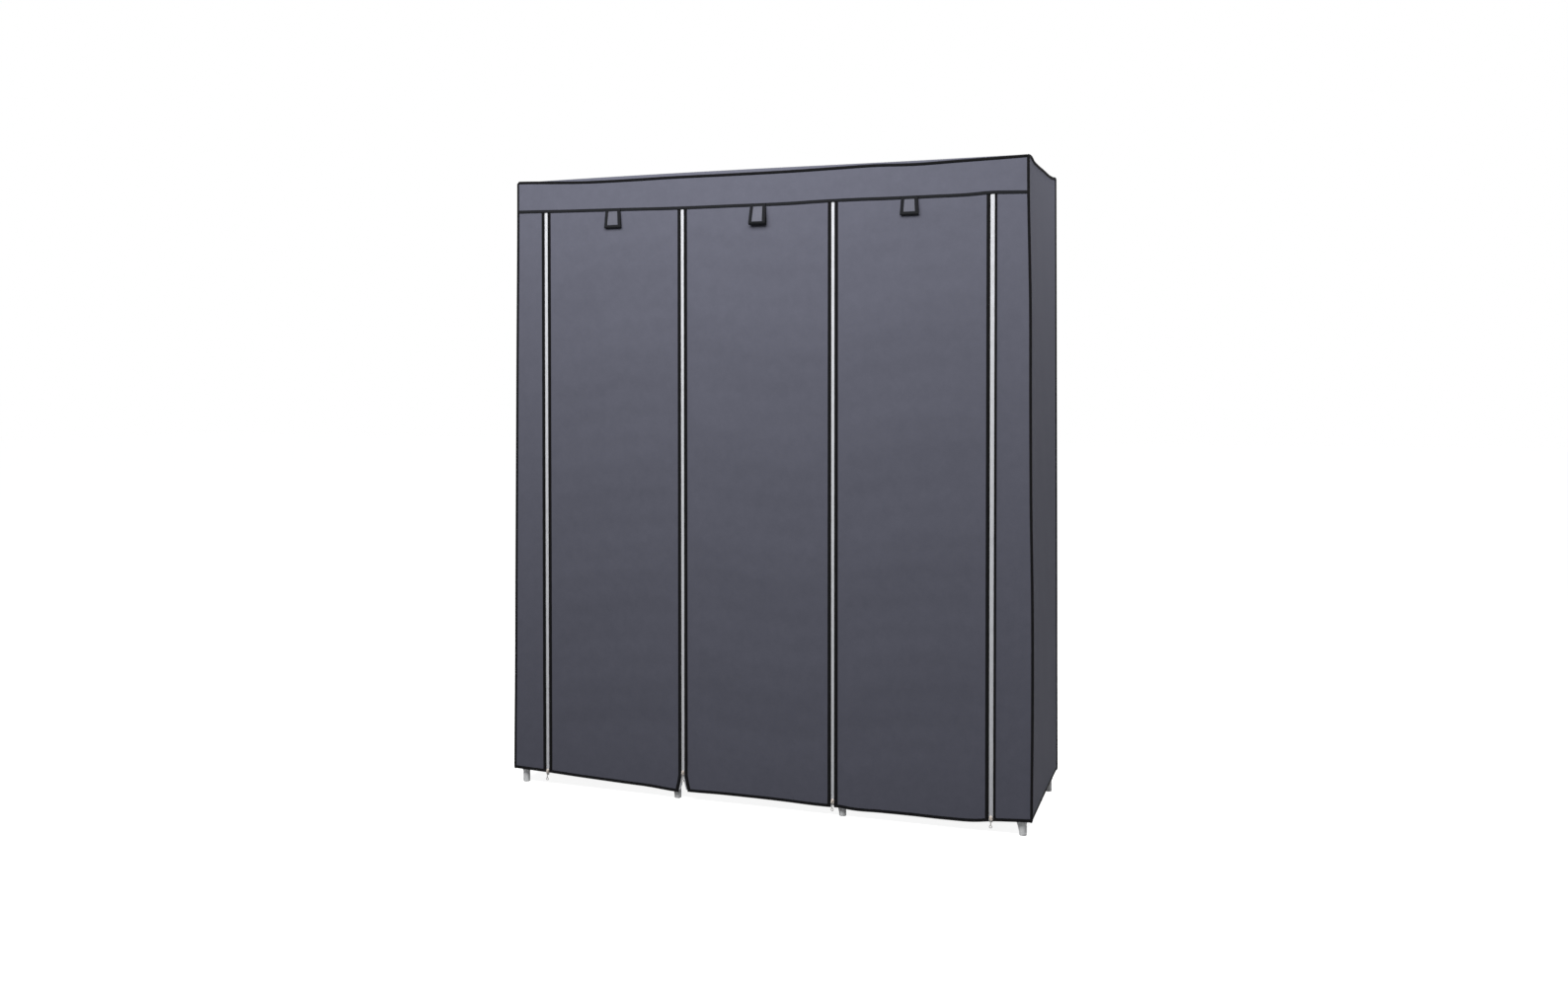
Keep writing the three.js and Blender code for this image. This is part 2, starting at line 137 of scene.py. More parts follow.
# Lower edge of the header: (x, height)
HEADER_EDGE = (
    (-0.7465, 1.6665), (-0.691, 1.6652), (-0.578, 1.6619), (-0.499, 1.6603), (-0.374, 1.6576),
    (-0.282, 1.6551), (-0.147, 1.6532), (-0.073, 1.6526), (0.099, 1.6512), (0.183, 1.6524),
    (0.294, 1.6523), (0.375, 1.651), (0.481, 1.6502), (0.586, 1.65), (0.65, 1.6525),
    (0.688, 1.6512), (0.7465, 1.649),
)

# Piping between roof and header, and the roof above it: (x, height)
FRONT_PIPING = (
    (-0.7465, 1.7538), (-0.7, 1.752), (-0.635, 1.7488), (-0.543, 1.7444), (-0.38, 1.7424),
    (-0.276, 1.7428), (-0.06, 1.7408), (0.099, 1.74), (0.206, 1.7408), (0.342, 1.7418),
    (0.439, 1.7388), (0.565, 1.7406), (0.7, 1.7428), (0.7465, 1.7436),
)
ROOF_TOP = ((-0.7465, 1.7565), (-0.5, 1.7572), (0.0, 1.755), (0.4, 1.7508), (0.7465, 1.749))
ROOF_SAG = 0.0078
ROOF_BAY = 0.4867
ROOF_ROLL = 0.01075
ROOF_SIDE_ROLL = 0.012
REAR_CORNER = 0.06

# Piping between roof and sides: (y, height)
SIDE_PIPING = (
    (-0.2254, 1.7436), (-0.204, 1.747), (-0.184, 1.7472), (-0.15, 1.7414), (-0.1, 1.7402),
    (-0.06, 1.7405), (0.013, 1.7421), (0.142, 1.745), (0.195, 1.75), (0.2276, 1.7545),
)

# Lower edge of the cover, along the front and along the sides
FRONT_HEM = (
    (-0.7465, 0.0409), (-0.65, 0.0379), (-0.542, 0.0336), (-0.49, 0.0319), (-0.39, 0.0289),
    (-0.291, 0.0269), (-0.22, 0.0256), (-0.098, 0.0269), (0.088, 0.0264), (0.179, 0.0246),
    (0.22, 0.0252), (0.24, 0.0259), (0.268, 0.0232), (0.356, 0.0242), (0.442, 0.0249),
    (0.527, 0.0246), (0.611, 0.0274), (0.65, 0.0329), (0.693, 0.0369), (0.7465, 0.0409),
)
SIDE_HEM = ((-0.2254, 0.0409), (-0.082, 0.0485), (0.1, 0.056), (0.2276, 0.059))

# How far the cover's corners lean along X: (height, distance)
LEFT_LEAN = (
    (0.0, -0.0125), (0.095, -0.0116), (0.32, -0.0088), (0.55, -0.0065), (0.9, -0.003),
    (1.24, 0.0002), (1.7, 0.0048), (1.76, 0.005),
)
RIGHT_LEAN = (
    (0.0, 0.008), (0.07, 0.0083), (0.33, 0.0097), (0.59, 0.0086), (0.85, 0.0042), (1.12, 0.0021),
    (1.38, 0.0007), (1.51, -0.0019), (1.64, -0.0047), (1.76, -0.0058),
)
REAR_LEAN = ((0.0, 0.0045), (1.76, -0.0058))

# The foot of a door, below this height, rises with its hem
DOOR_SPLIT = 0.088
DOOR_FOOT_ROWS = 12

# Slack of the cloth
DOOR_FOLD = 0.0011
DOOR_FOLD_PITCH = 0.31
DOOR_CREASE = 0.00022
DOOR_CREASE_PITCH = 0.078
PANEL_SLACK = 0.0012

# Straps: how far each one stands out at its fold, and how far it sits to the side
STRAP_HALF = {"left": (0.0222, 0.0257), "middle": (0.0216, 0.0242), "right": (0.0218, 0.0248)}
STRAP_CLOTH = 0.0011
STRAP_THICK = 0.0024
STRAP_EDGE = 0.0088
STRAP_FOOT = 0.008
STRAP_BEHIND = 0.0001
STRAP_FOLD = 0.003
STRAP_ROWS = 64
STRAP_SEAM_DROP = 0.0022
STRAP_BULGE = {"left": 0.0022, "middle": 0.0088, "right": 0.0022}
STRAP_ASIDE = {"left": 0.002, "middle": 0.0068, "right": -0.0037}
STRAP_LOW = {"left": 1.6103, "middle": 1.6004, "right": 1.608}

# Frame
TUBE_WALL = 0.0008
JOINER_RADIUS = 0.0105
JOINER_DOME = 0.0085
RAIL_BOSS = 0.0077
RAIL_OVER = 0.007
TUBE_GAP = 0.0003
SHELF_SAG = 0.0045
SHELF_CLOTH = 0.0006
SHELF_SEAM = radians(70)

DOORS = ("left", "middle", "right")

# Light: wide softboxes, and what comes back from a pale room
AMBIENT = 0.13
AMBIENT_COLOUR = (0.97, 0.98, 1.0, 1)
# Name, place, target, size and power
SOFTBOXES = (
    ("front_softbox", (-0.1, -1.75, 2.85), (-0.05, -0.1, 1.25), (3.0, 1.2), 90),
    ("side_softbox", (1.75, 0.35, 2.45), (0.75, 0, 1.6), (0.7, 0.7), 13),
    ("rear_softbox", (-0.1, 2.3, 2.3), (-0.05, 0.2, 0.95), (1.1, 1.0), 70),
)
FLOOR_HALF = 30
FLOOR_BOUNCE = (0.25, 0.25, 0.25, 1)
FLOOR_WHITE = (0.8, 0.8, 0.8, 1)
FLOOR_GLOW = 0.9


def interpolated(table, at):
    """A smooth line through (place, value) pairs."""
    places, values = np.array(table).T
    slopes = np.gradient(values, places)
    at = np.clip(np.asarray(at, float), places[0], places[-1])
    index = np.clip(np.searchsorted(places, at) - 1, 0, len(places) - 2)
    step = places[index + 1] - places[index]
    t = (at - places[index]) / step
    return (
        values[index] * (1 + 2 * t) * (1 - t) ** 2
        + slopes[index] * step * t * (1 - t) ** 2
        + values[index + 1] * t * t * (3 - 2 * t)
        - slopes[index + 1] * step * t * t * (1 - t)
    )


def panel(x, low, high, share):
    """Where the rows of a hanging panel lie across and in height, from its lower edge to its upper one."""
    z = low + (high - low) * share
    return np.broadcast_to(x, z.shape), z


def smoothstep(value):
    value = np.clip(value, 0, 1)
    return value * value * (3 - 2 * value)


def unit(vectors):
    return vectors / np.maximum(np.linalg.norm(vectors, axis=-1, keepdims=True), 1e-12)


def stacked(*columns):
    return np.stack(np.broadcast_arrays(*columns), -1)


def linked(name, data):
    made = bpy.data.objects.new(name, data)
    bpy.context.scene.collection.objects.link(made)
    return made


def spaced(start, end, step):
    return np.linspace(start, end, max(2, int(round(abs(end - start) / step)) + 1))


def add_piece(name, parts, material, body, nodes=(), angle=35):
    """One mesh from parts of points and faces, which rides on a body and replaces CAD nodes."""
    points, faces, count = [], [], 0
    for part_points, part_faces in parts:
        part_points = np.asarray(part_points, float).reshape(-1, 3)
        points.append(part_points)
        faces.extend(tuple(int(i) + count for i in face) for face in part_faces)
        count += len(part_points)
    mesh = bpy.data.meshes.new(name)
    mesh.from_pydata(np.concatenate(points).tolist(), [], faces)
    mesh.validate()
    mesh.shade_smooth()
    mesh.set_sharp_from_angle(angle=radians(angle))
    mesh.materials.append(material)
    piece = linked(name, mesh)
    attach(piece, body)
    if nodes:
        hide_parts(*nodes)
    return piece


def quads(*corners):
    return stacked(*corners).reshape(-1, 4)


def sheet(grid, thickness=CLOTH):
    """A closed cloth from points on its outer face, with columns to the right and rows upwards."""
    rows, columns = grid.shape[:2]
    count = rows * columns
    normal = unit(np.cross(np.gradient(grid, axis=1), np.gradient(grid, axis=0)))
    points = np.concatenate([grid.reshape(-1, 3), (grid - normal * thickness).reshape(-1, 3)])
    index = np.arange(count).reshape(rows, columns)
    outer = quads(index[:-1, :-1], index[:-1, 1:], index[1:, 1:], index[1:, :-1])
    inner = outer[:, [0, 3, 2, 1]] + count
    ring = np.concatenate([index[0, :-1], index[:-1, -1], index[-1, :0:-1], index[:0:-1, 0]])
    after = np.roll(ring, -1)
    return points, np.concatenate([outer, inner, quads(ring, ring + count, after + count, after)])


def frames(path, up):
    """The direction along each point of a path, to its right and above it."""
    tangent = unit(np.gradient(path, axis=0))
    right = unit(np.cross(np.broadcast_to(up, path.shape), tangent))
    return tangent, right, np.cross(tangent, right)


def sweep(path, section, up):
    """A closed strip along a path. The section's (right, up) points run anticlockwise."""
    path, section = np.asarray(path, float), np.asarray(section, float)
    _, right, above = frames(path, up)
    points = path[:, None] + section @ np.stack([right, above], 1)
    index = np.arange(len(path) * len(section)).reshape(len(path), len(section))
    after = np.roll(index, -1, axis=1)
    walls = quads(index[:-1], after[:-1], after[1:], index[1:])
    return points.reshape(-1, 3), [*map(tuple, walls), tuple(index[0, ::-1]), tuple(index[-1])]


def lengths_along(path):
    return np.concatenate([[0], np.cumsum(np.linalg.norm(np.diff(path, axis=0), axis=1))])


def sampled(places, lengths, values):
    return stacked(*(np.interp(places, lengths, column) for column in values.T))


def cord_of(path, radius, up):
    """A round cord along a path, with rounded ends."""
    lengths = lengths_along(path)
    near = radius * np.array([0, 0.06, 0.25, 0.6, 1.0])
    inside = lengths[(lengths > near[-1] * 1.3) & (lengths < lengths[-1] - near[-1] * 1.3)]
    places = np.concatenate([near, inside, lengths[-1] - near[::-1]])
    centres = sampled(places, lengths, path)
    end = np.clip(np.minimum(places, lengths[-1] - places) / radius, 0, 1)
    shrunk = np.maximum(np.sqrt(1 - (1 - end) ** 2), 0.12)
    points, faces = sweep(centres, circle(radius), up)
    points = points.reshape(len(centres), -1, 3)
    return centres[:, None] + (points - centres[:, None]) * shrunk[:, None, None], faces


def circle(radius, sides=12):
    turns = np.arange(sides) * 2 * pi / sides
    return stacked(np.cos(turns), np.sin(turns)) * radius


def oval(width, height, sides=12):
    return circle(0.5, sides) * (width, height)


def chamfered(low, high, cut):
    """A rectangle with its corners cut off, anticlockwise."""
    (left, bottom), (right, top) = low, high
    return [
        (right, bottom + cut), (right, top - cut), (right - cut, top), (left + cut, top),
        (left, top - cut), (left, bottom + cut), (left + cut, bottom), (right - cut, bottom),
    ]


def folded_section(width, cloth=CLOTH, over=0.0):
    """A ribbon folded round the edge of a cloth that lies to the right, with its outer face at zero."""
    near, far = over + SLOT_GAP, over + SLOT_GAP + BINDING
    back = -cloth - over - SLOT_GAP
    turn = BINDING * 0.6
    return [
        (width, near), (width, far - turn / 2), (width - turn, far), (-turn, far), (-BINDING, near),
        (-BINDING, back), (-turn, back - BINDING), (width - turn, back - BINDING),
        (width, back - BINDING + turn / 2), (width, back), (SLOT_GAP, back), (SLOT_GAP, near),
    ]


def rings_of(profile, sides):
    """Points round Z at each (radius, height), and their numbers."""
    across, up = circle(1, sides).T
    points = [stacked(across * radius, up * radius, height) for radius, height in profile]
    return points, np.arange(len(profile) * sides).reshape(len(profile), sides)


def turned(profile, sides=40):
    """A solid of revolution about Z from (radius, height) pairs that start and end on the axis."""
    rings, index = rings_of(profile[1:-1], sides)
    index = index + 1
    after = np.roll(index, -1, axis=1)
    first, last = ([(0, 0, profile[end][1])] for end in (0, -1))
    caps = [(0, after[0, i], index[0, i]) for i in range(sides)]
    caps += [(index[-1, i], after[-1, i], 1 + index.size) for i in range(sides)]
    walls = quads(index[:-1], after[:-1], after[1:], index[1:])
    return np.concatenate([first, *rings, last]), [*map(tuple, walls), *caps]


def ringed(profile, sides):
    """A closed ring about Z from (radius, height) pairs that run anticlockwise and never meet the axis."""
    rings, index = rings_of(profile, sides)
    after, above = np.roll(index, -1, axis=1), np.roll(index, -1, axis=0)
    return np.concatenate(rings), quads(index, after, np.roll(after, -1, axis=0), above)


def plate(outline, low, high, bevel):
    """A bevelled plate across Y from an (x, z) outline that runs anticlockwise seen from the front."""
    outline = np.asarray(outline, float)
    middle = outline.mean(axis=0)
    inset = middle + (outline - middle) * (1 - bevel / np.abs(outline - middle).max())
    levels = ((low, inset), (low + bevel, outline), (high - bevel, outline), (high, inset))
    points = [stacked(ring[:, 0], y, ring[:, 1]) for y, ring in levels]
    index = np.arange(4 * len(outline)).reshape(4, -1)
    after = np.roll(index, -1, axis=1)
    walls = quads(index[:-1], index[1:], after[1:], after[:-1])
    return np.concatenate(points), [*map(tuple, walls), tuple(index[0]), tuple(index[-1, ::-1])]


def placed(shape, place=(0, 0, 0), axis="z", turn=1):
    """The same shape with its Z axis along another axis, moved to its place."""
    points, faces = shape
    x, y, z = np.asarray(points).T
    if turn < 0:
        x, z = -x, -z
    points = stacked(*{"x": (z, x, y), "y": (y, z, x), "z": (x, y, z)}[axis])
    return points + np.asarray(place, float), faces


def many_blocks(centres, across, along, out, size):
    """A small block with chamfered ends at each centre, for stitches and teeth."""
    across, along, out = (np.broadcast_to(v, centres.shape) for v in (across, along, out))
    width, length, thick = (value / 2 for value in size)
    outline = chamfered((-width, -length), (width, length), min(length, width) * 0.45)
    corners = [(u, v, -thick) for u, v in outline] + [(u * 0.8, v * 0.9, thick) for u, v in outline]
    points = centres[:, None] + np.array(corners) @ np.stack([across, along, out], 1)
    one = [tuple(range(7, -1, -1)), tuple(range(8, 16))]
    one += [(i, (i + 1) % 8, 8 + (i + 1) % 8, 8 + i) for i in range(8)]
    faces = [tuple(i + 16 * block for i in face) for block in range(len(centres)) for face in one]
    return points.reshape(-1, 3), faces


def stitches(path, up, aside, height):
    """A row of stitches along a path, moved aside and standing at a height above it."""
    lengths = lengths_along(path)
    places = np.arange(STITCH_PITCH, lengths[-1] - STITCH_PITCH, STITCH_PITCH)
    centres = sampled(places, lengths, path)
    ups = unit(sampled(places, lengths, np.broadcast_to(up, path.shape)))
    tangent, right, above = frames(centres, ups)
    middle = centres + right * aside + above * height
    return many_blocks(middle, right, tangent, above, (STITCH_THICK * 1.3, STITCH_LENGTH, STITCH_THICK))


def middle_of(node):
    return np.mean([list(end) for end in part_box(node)], axis=0)


# Places that the frame gives
curtain_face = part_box("middle_door_curtain")[0].y
side_low, side_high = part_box("right_side_panel")
FRONT = curtain_face + FACE_INSET
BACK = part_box("back_panel")[1].y
SIDE = (side_low.x + side_high.x) / 2
CORNER_FRONT = side_low.y + (side_high.x - side_low.x) / 2
CORNER_BACK = side_high.y - (side_high.x - side_low.x) / 2
ZIPS = [middle_of(f"zip_tape_{n}")[0] for n in range(1, 5)]
ZIP_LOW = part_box("zip_tape_1")[0].z
DOOR_TRAVEL = frame["joints"][0]["range_m"][1]
# A whole number of teeth in the doors' travel, so that raised halves still mesh
TOOTH_PITCH = DOOR_TRAVEL / 716


def header_edge(x):
    return interpolated(HEADER_EDGE, x)


def lean(x, z, y=None):
    """The outer strips widen or narrow where the cover's corners lean, and the zips stay straight."""
    back = 0 if y is None else np.clip((y - CORNER_FRONT) / (CORNER_BACK - CORNER_FRONT), 0, 1)
    rear = interpolated(REAR_LEAN, z)
    left = interpolated(LEFT_LEAN, z) * (1 - back) - rear * back
    right = interpolated(RIGHT_LEAN, z) * (1 - back) + rear * back
    edge = ZIPS[3] + ZIP_SHOWN[3] / 2 + ZIP_BINDING_WIDTH
    share = np.clip((np.abs(x) - edge) / (SIDE - edge), 0, 1)
    return share * np.where(x < 0, left, right)


def opened(x, z):
    """How far the cloth moves aside and down where the second zip is open."""
    aside = x - ZIPS[1]
    low = np.clip((OPEN_TOP - z) / (OPEN_TOP - ZIP_LOW), 0, 1.2)
    amount = OPEN_SPREAD * low ** 1.25
    share = smoothstep(1 - (np.abs(aside) - ZIP_SHOWN[1]) / OPEN_REACH)
    drop = np.where(aside < 0, OPEN_DIP, OPEN_DIP * 0.15)
    return np.sign(aside) * amount * share, -drop * low * share


def front_place(x, z, out=0.0):
    """The place on the front for a flat position, standing out from the cloth's face."""
    x, z = np.broadcast_arrays(np.asarray(x, float), np.asarray(z, float))
    move, drop = opened(x, z)
    tucked = TUCK_DEPTH * smoothstep((z - header_edge(x) + TUCK_START) / TUCK_SPAN)
    return stacked(x + lean(x, z) + move, FRONT - out + tucked, z + drop)


def waves(a, b, pitch, seed):
    """Gentle slack of a hanging cloth, from -1 to 1, the same in every run."""
    rng = np.random.default_rng(seed)
    total = np.zeros(np.broadcast(a, b).shape)
    for size in (1.0, 0.62, 0.41):
        turn, phase = rng.uniform(-0.5, 0.5), rng.uniform(0, 2 * pi)
        along = a * cos(turn) + b * sin(turn)
        total = total + size * np.sin(2 * pi * along / (pitch * size) + phase)
    return total / 2.03


# Materials

def nodes_of(name):
    material = bpy.data.materials.new(name)
    material.use_nodes = True
    nodes = material.node_tree.nodes
    return material, nodes["Principled BSDF"], nodes.new("ShaderNodeTexCoord").outputs["Object"]


def with_values(node, **values):
    """A node with its inputs, or else its properties, set by their names in small letters."""
    inputs = {socket.name.lower().replace(" ", "_"): socket for socket in node.inputs}
    for key, value in values.items():
        if key in inputs:
            inputs[key].default_value = value
        else:
            setattr(node, key, value)
    return node


def node_at(place, kind, **values):
    """A node in a place socket's own tree, with the place on its Vector socket."""
    node = with_values(place.id_data.nodes.new(kind), **values)
    place.id_data.links.new(place, node.inputs["Vector"])
    return node


def noise(place, **values):
    return node_at(place, "ShaderNodeTexNoise", **values).outputs["Fac"]


def bands(place, **values):
    return node_at(place, "ShaderNodeTexWave", **values).outputs["Fac"]


def stretched(place, scale):
    return node_at(place, "ShaderNodeMapping", scale=scale).outputs["Vector"]


def ramp(value, *stops):
    node = value.id_data.nodes.new("ShaderNodeValToRGB")
    for _ in range(len(stops) - 2):
        node.color_ramp.elements.new(0.5)
    for element, (at, colour) in zip(node.color_ramp.elements, stops):
        element.position = at
        element.color = (*colour, 1)
    value.id_data.links.new(value, node.inputs["Fac"])
    return node.outputs["Color"]


def combined(kind, first, second):
    """A sum, product or maximum of a socket and of another socket or a number."""
    tree = first.id_data
    node = with_values(tree.nodes.new("ShaderNodeMath"), operation=kind)
    tree.links.new(first, node.inputs[0])
    if isinstance(second, float):
        node.inputs[1].default_value = second
    else:
        tree.links.new(second, node.inputs[1])
    return node.outputs[0]


def weighed(first, share, second):
    return combined("ADD", combined("MULTIPLY", first, share), combined("MULTIPLY", second, 1 - share))


def linear(*values):
    return tuple(v / 12.92 / 255 if v <= 10 else ((v / 255 + 0.055) / 1.055) ** 2.4 for v in values)


def coloured(shader, value, colour, *stops):
    """The base colour from a texture value, with (place, brightness) stops."""
    stops = [(at, tuple(min(channel * factor, 1) for channel in colour)) for at, factor in stops]
    value.id_data.links.new(ramp(value, *stops), shader.inputs["Base Color"])


def roughened(shader, value, low, high):
    shade = ramp(value, (0.25, (low,) * 3), (0.75, (high,) * 3))
    value.id_data.links.new(shade, shader.inputs["Roughness"])


def bumped(shader, height, distance, strength):
    tree = height.id_data
    node = with_values(tree.nodes.new("ShaderNodeBump"), distance=distance, strength=strength)
    tree.links.new(height, node.inputs["Height"])
    tree.links.new(node.outputs["Normal"], shader.inputs["Normal"])


def felt_material(name, colour, roughness=0.82):
    """Non-woven cloth: clouded fibres with a fine pressed dimple pattern."""
    material, shader, place = nodes_of(name)
    cloud = noise(place, scale=38, detail=4, roughness=0.62)
    fibre = noise(stretched(place, (1, 1, 0.35)), scale=900, detail=3)
    dimple = node_at(place, "ShaderNodeTexVoronoi", scale=620).outputs["Distance"]
    mixed = weighed(cloud, 0.55, fibre)
    coloured(shader, mixed, colour, (0.32, 0.92), (0.52, 1), (0.72, 1.08))
    roughened(shader, cloud, roughness - 0.07, roughness + 0.08)
    bumped(shader, weighed(dimple, 0.6, fibre), 0.00014, 0.8)
    with_values(shader, sheen_weight=0.05, sheen_roughness=0.5, specular_ior_level=0.05)
    return material


def woven_material(name, colour, roughness=0.85, sheen=0.0):
    """A tight woven ribbon, with threads both ways."""
    material, shader, place = nodes_of(name)
    level, slant = (bands(place, scale=900, distortion=0.6, bands_direction=direction)
                    for direction in ("Z", "DIAGONAL"))
    cloud = noise(place, scale=60, detail=3)
    weave = combined("MULTIPLY", level, slant)
    mixed = weighed(weave, 0.5, cloud)
    coloured(shader, mixed, colour, (0.15, 0.8), (0.45, 1), (0.75, 1.15))
    roughened(shader, cloud, roughness - 0.06, roughness + 0.06)
    bumped(shader, weave, 0.0001, 0.7)
    with_values(shader, sheen_weight=sheen, specular_ior_level=0.12)
    return material


def ribbed_material(name, colour, roughness, pitch):
    """Webbing with cords along its length."""
    material, shader, place = nodes_of(name)
    cords = bands(place, scale=2 * pi / (20 * pitch), distortion=0.2, bands_direction="X")
    cloud = noise(place, scale=120, detail=3)
    mixed = weighed(cords, 0.7, cloud)
    coloured(shader, mixed, colour, (0.15, 0.84), (0.5, 1), (0.85, 1.1))
    roughened(shader, cloud, roughness - 0.06, roughness + 0.06)
    bumped(shader, cords, 0.0003, 0.7)
    return material


def plastic_material(name, colour, roughness, soft=0.0):
    """Moulded plastic: a fine pitted skin, clouded tone and scuffs."""
    material, shader, place = nodes_of(name)
    cloud = noise(place, scale=25, detail=3)
    grain = noise(place, scale=1400, detail=2)
    scuff = noise(stretched(place, (1, 1, 5)), scale=160, detail=6)
    coloured(shader, cloud, colour, (0.3, 0.93), (0.7, 1))
    roughened(shader, scuff, roughness, roughness + 0.25)
    bumped(shader, grain, 0.00005, 0.4)
    with_values(shader, subsurface_weight=soft, subsurface_radius=(0.002, 0.002, 0.002))
    return material


def metal_material(name, colour, roughness, metallic=1.0):
    """Drawn or cast metal: fine lines along it and duller patches."""
    material, shader, place = nodes_of(name)
    lines = noise(stretched(place, (1, 1, 0.08)), scale=420, detail=4)
    worn = noise(place, scale=45, detail=5, roughness=0.6)
    coloured(shader, worn, colour, (0.3, 0.82), (0.6, 1), (0.8, 1.1))
    roughened(shader, weighed(worn, 0.6, lines), roughness - 0.08, roughness + 0.14)
    bumped(shader, lines, 0.00004, 0.3)
    with_values(shader, metallic=metallic)
    return material


COVER = felt_material("cover_felt", linear(94, 95, 107))
SHELF = felt_material("shelf_felt", linear(88, 89, 99), roughness=0.86)
WEBBING = ribbed_material("strap_webbing", linear(87, 88, 99), 0.8, 0.0042)
EDGING = woven_material("edge_ribbon", linear(12, 12, 14))
# The ribbon along the header and round the straps is the edge ribbon painted lighter: painted light, standing
# in for the stronger light at the cover's top
EDGING_PAINTED_LIGHTER = woven_material("header_ribbon", linear(27, 28, 31))
TAPE_CLOTH = woven_material("zip_tape_weave", linear(208, 209, 214), 0.72, sheen=0.05)
COIL = plastic_material("zip_coil_nylon", linear(222, 223, 227), 0.4)
NICKEL = metal_material("slider_nickel", linear(186, 177, 169), 0.34)
PULL_NICKEL = metal_material("pull_nickel", linear(122, 120, 117), 0.3)
PLASTIC = plastic_material("joiner_plastic", linear(238, 239, 240), 0.42, soft=0.1)
TUBE = metal_material("tube_paint", linear(150, 152, 156), 0.42, metallic=0.35)

COVER_BODY = "frame_and_cover"


# Cover

def cover_piece(name, grid, nodes, body=COVER_BODY):
    return add_piece(name, [sheet(grid)], COVER, body, nodes)


def edge_piece(name, parts, nodes=(), body=COVER_BODY, ribbon=EDGING):
    return add_piece(name, parts, ribbon, body, nodes, angle=50)


def hemmed(path, up, width=HEM_WIDTH, over=0.0):
    """A folded ribbon round an edge, sewn on with one row of stitches."""
    seam = stitches(path, up, width - STITCH_INSET, over + SLOT_GAP + BINDING)
    return [sweep(path, folded_section(width, CLOTH, over), up), seam]


def front_piping_height(x):
    return interpolated(FRONT_PIPING, x)


def roof_height(x, y):
    """The roof lies on the front and rear rails, sags between them and rolls down to the side piping."""
    start, end = CORNER_FRONT + ROOF_ROLL, CORNER_BACK - ROOF_ROLL
    across = np.clip((y - start) / (end - start), 0, 1)
    slack = 0.85 + 0.15 * np.cos(x * 2 * pi / ROOF_BAY + pi)
    fall = ROOF_SAG * slack * (1 - (2 * across - 1) ** 2) ** 1.4
    ripple = 0.0005 * waves(x, y, 0.21, 4) * np.sin(across * pi) ** 2
    inner = interpolated(ROOF_TOP, x) - fall + ripple
    edge = interpolated(SIDE_PIPING, y)
    share = np.clip((np.abs(x) - SIDE + ROOF_SIDE_ROLL) / ROOF_SIDE_ROLL, 0, 1)
    return edge + (inner - edge) * np.sqrt(1 - share**2)


def roof_grid():
    turns = np.linspace(0, pi / 2, 9)
    roll = ROOF_SIDE_ROLL * (1 - np.cos(turns))
    middle = spaced(-SIDE + ROOF_SIDE_ROLL, SIDE - ROOF_SIDE_ROLL, 0.018)
    x = np.concatenate([-SIDE + roll, middle[1:-1], SIDE - roll[::-1]])
    start, end = CORNER_FRONT + ROOF_ROLL, CORNER_BACK - ROOF_ROLL
    near_corner = smoothstep((np.abs(x) - SIDE + REAR_CORNER) / REAR_CORNER)
    rear = np.minimum(roof_height(x, end), interpolated(ROOF_TOP, x) - ROOF_ROLL) - 0.0005
    rear = rear + (float(interpolated(SIDE_PIPING, CORNER_BACK)) - rear) * near_corner

    def rolled(y, sign, low, turn):
        high = roof_height(x, y)
        return stacked(x, y + sign * ROOF_ROLL * cos(turn), low + (high - low) * sin(turn))

    rows = [rolled(start, -1, front_piping_height(x), turn) for turn in turns]
    rows += [stacked(x, y, roof_height(x, y)) for y in spaced(start, end, 0.016)[1:-1]]
    rows += [rolled(end, 1, rear, turn) for turn in turns[::-1]]
    grid = np.array(rows)
    grid[..., 0] += lean(grid[..., 0], grid[..., 2], grid[..., 1])
    return grid


roof = roof_grid()
roof_cloth = cover_piece("roof_cloth", roof, ["roof_panel"])


def roof_end(side):
    return roof[:, 0] if side < 0 else roof[:, -1]


def side_top(y, side):
    """The upper edge of a side, which follows the end of the roof."""
    return np.interp(y, roof_end(side)[:, 1], roof_end(side)[:, 2])


def side_grid(side):
    y = spaced(CORNER_FRONT, CORNER_BACK, 0.014)
    y = y if side > 0 else y[::-1]
    share = np.linspace(0, 1, 76)[:, None]
    depth, z = panel(y, interpolated(SIDE_HEM, y), side_top(y, side), share)
    across = (depth - CORNER_FRONT) / (CORNER_BACK - CORNER_FRONT)
    calm = np.sin(across * pi) * np.sin(share * pi) ** 0.5
    slack = PANEL_SLACK * (1.1 + waves(depth, z, 0.33, 7 + side)) * calm
    return stacked(side * (SIDE - slack) + lean(side * SIDE, z, depth), depth, z)


def corner(side, y, low):
    bend = np.linspace(0, CORNER_BEND[0], 6)
    z = np.concatenate([low + bend[:-1], spaced(low + bend[-1], float(side_top(y, side)), 0.03)])
    x = side * SIDE + lean(side * SIDE, z, y)
    inward = CORNER_BEND[1] * np.clip(1 - (z - low) / bend[-1], 0, 1) ** 2
    return stacked(x - side * inward, y, z)


def back_grid():
    x = spaced(SIDE, -SIDE, 0.02)
    share = np.linspace(0, 1, 80)[:, None]
    high = np.interp(-x, -roof[-1, ::-1, 0], roof[-1, ::-1, 2])
    across, z = panel(x, interpolated(SIDE_HEM, CORNER_BACK) - 0.001, high, share)
    calm = np.clip((SIDE - np.abs(across)) / 0.15, 0, 1) * np.sin(share * pi) ** 0.4
    slack = PANEL_SLACK * 1.4 * (1.1 + waves(across, z * 0.4, 0.42, 11)) * calm
    return stacked(across + lean(across, z, BACK), BACK - slack, z)


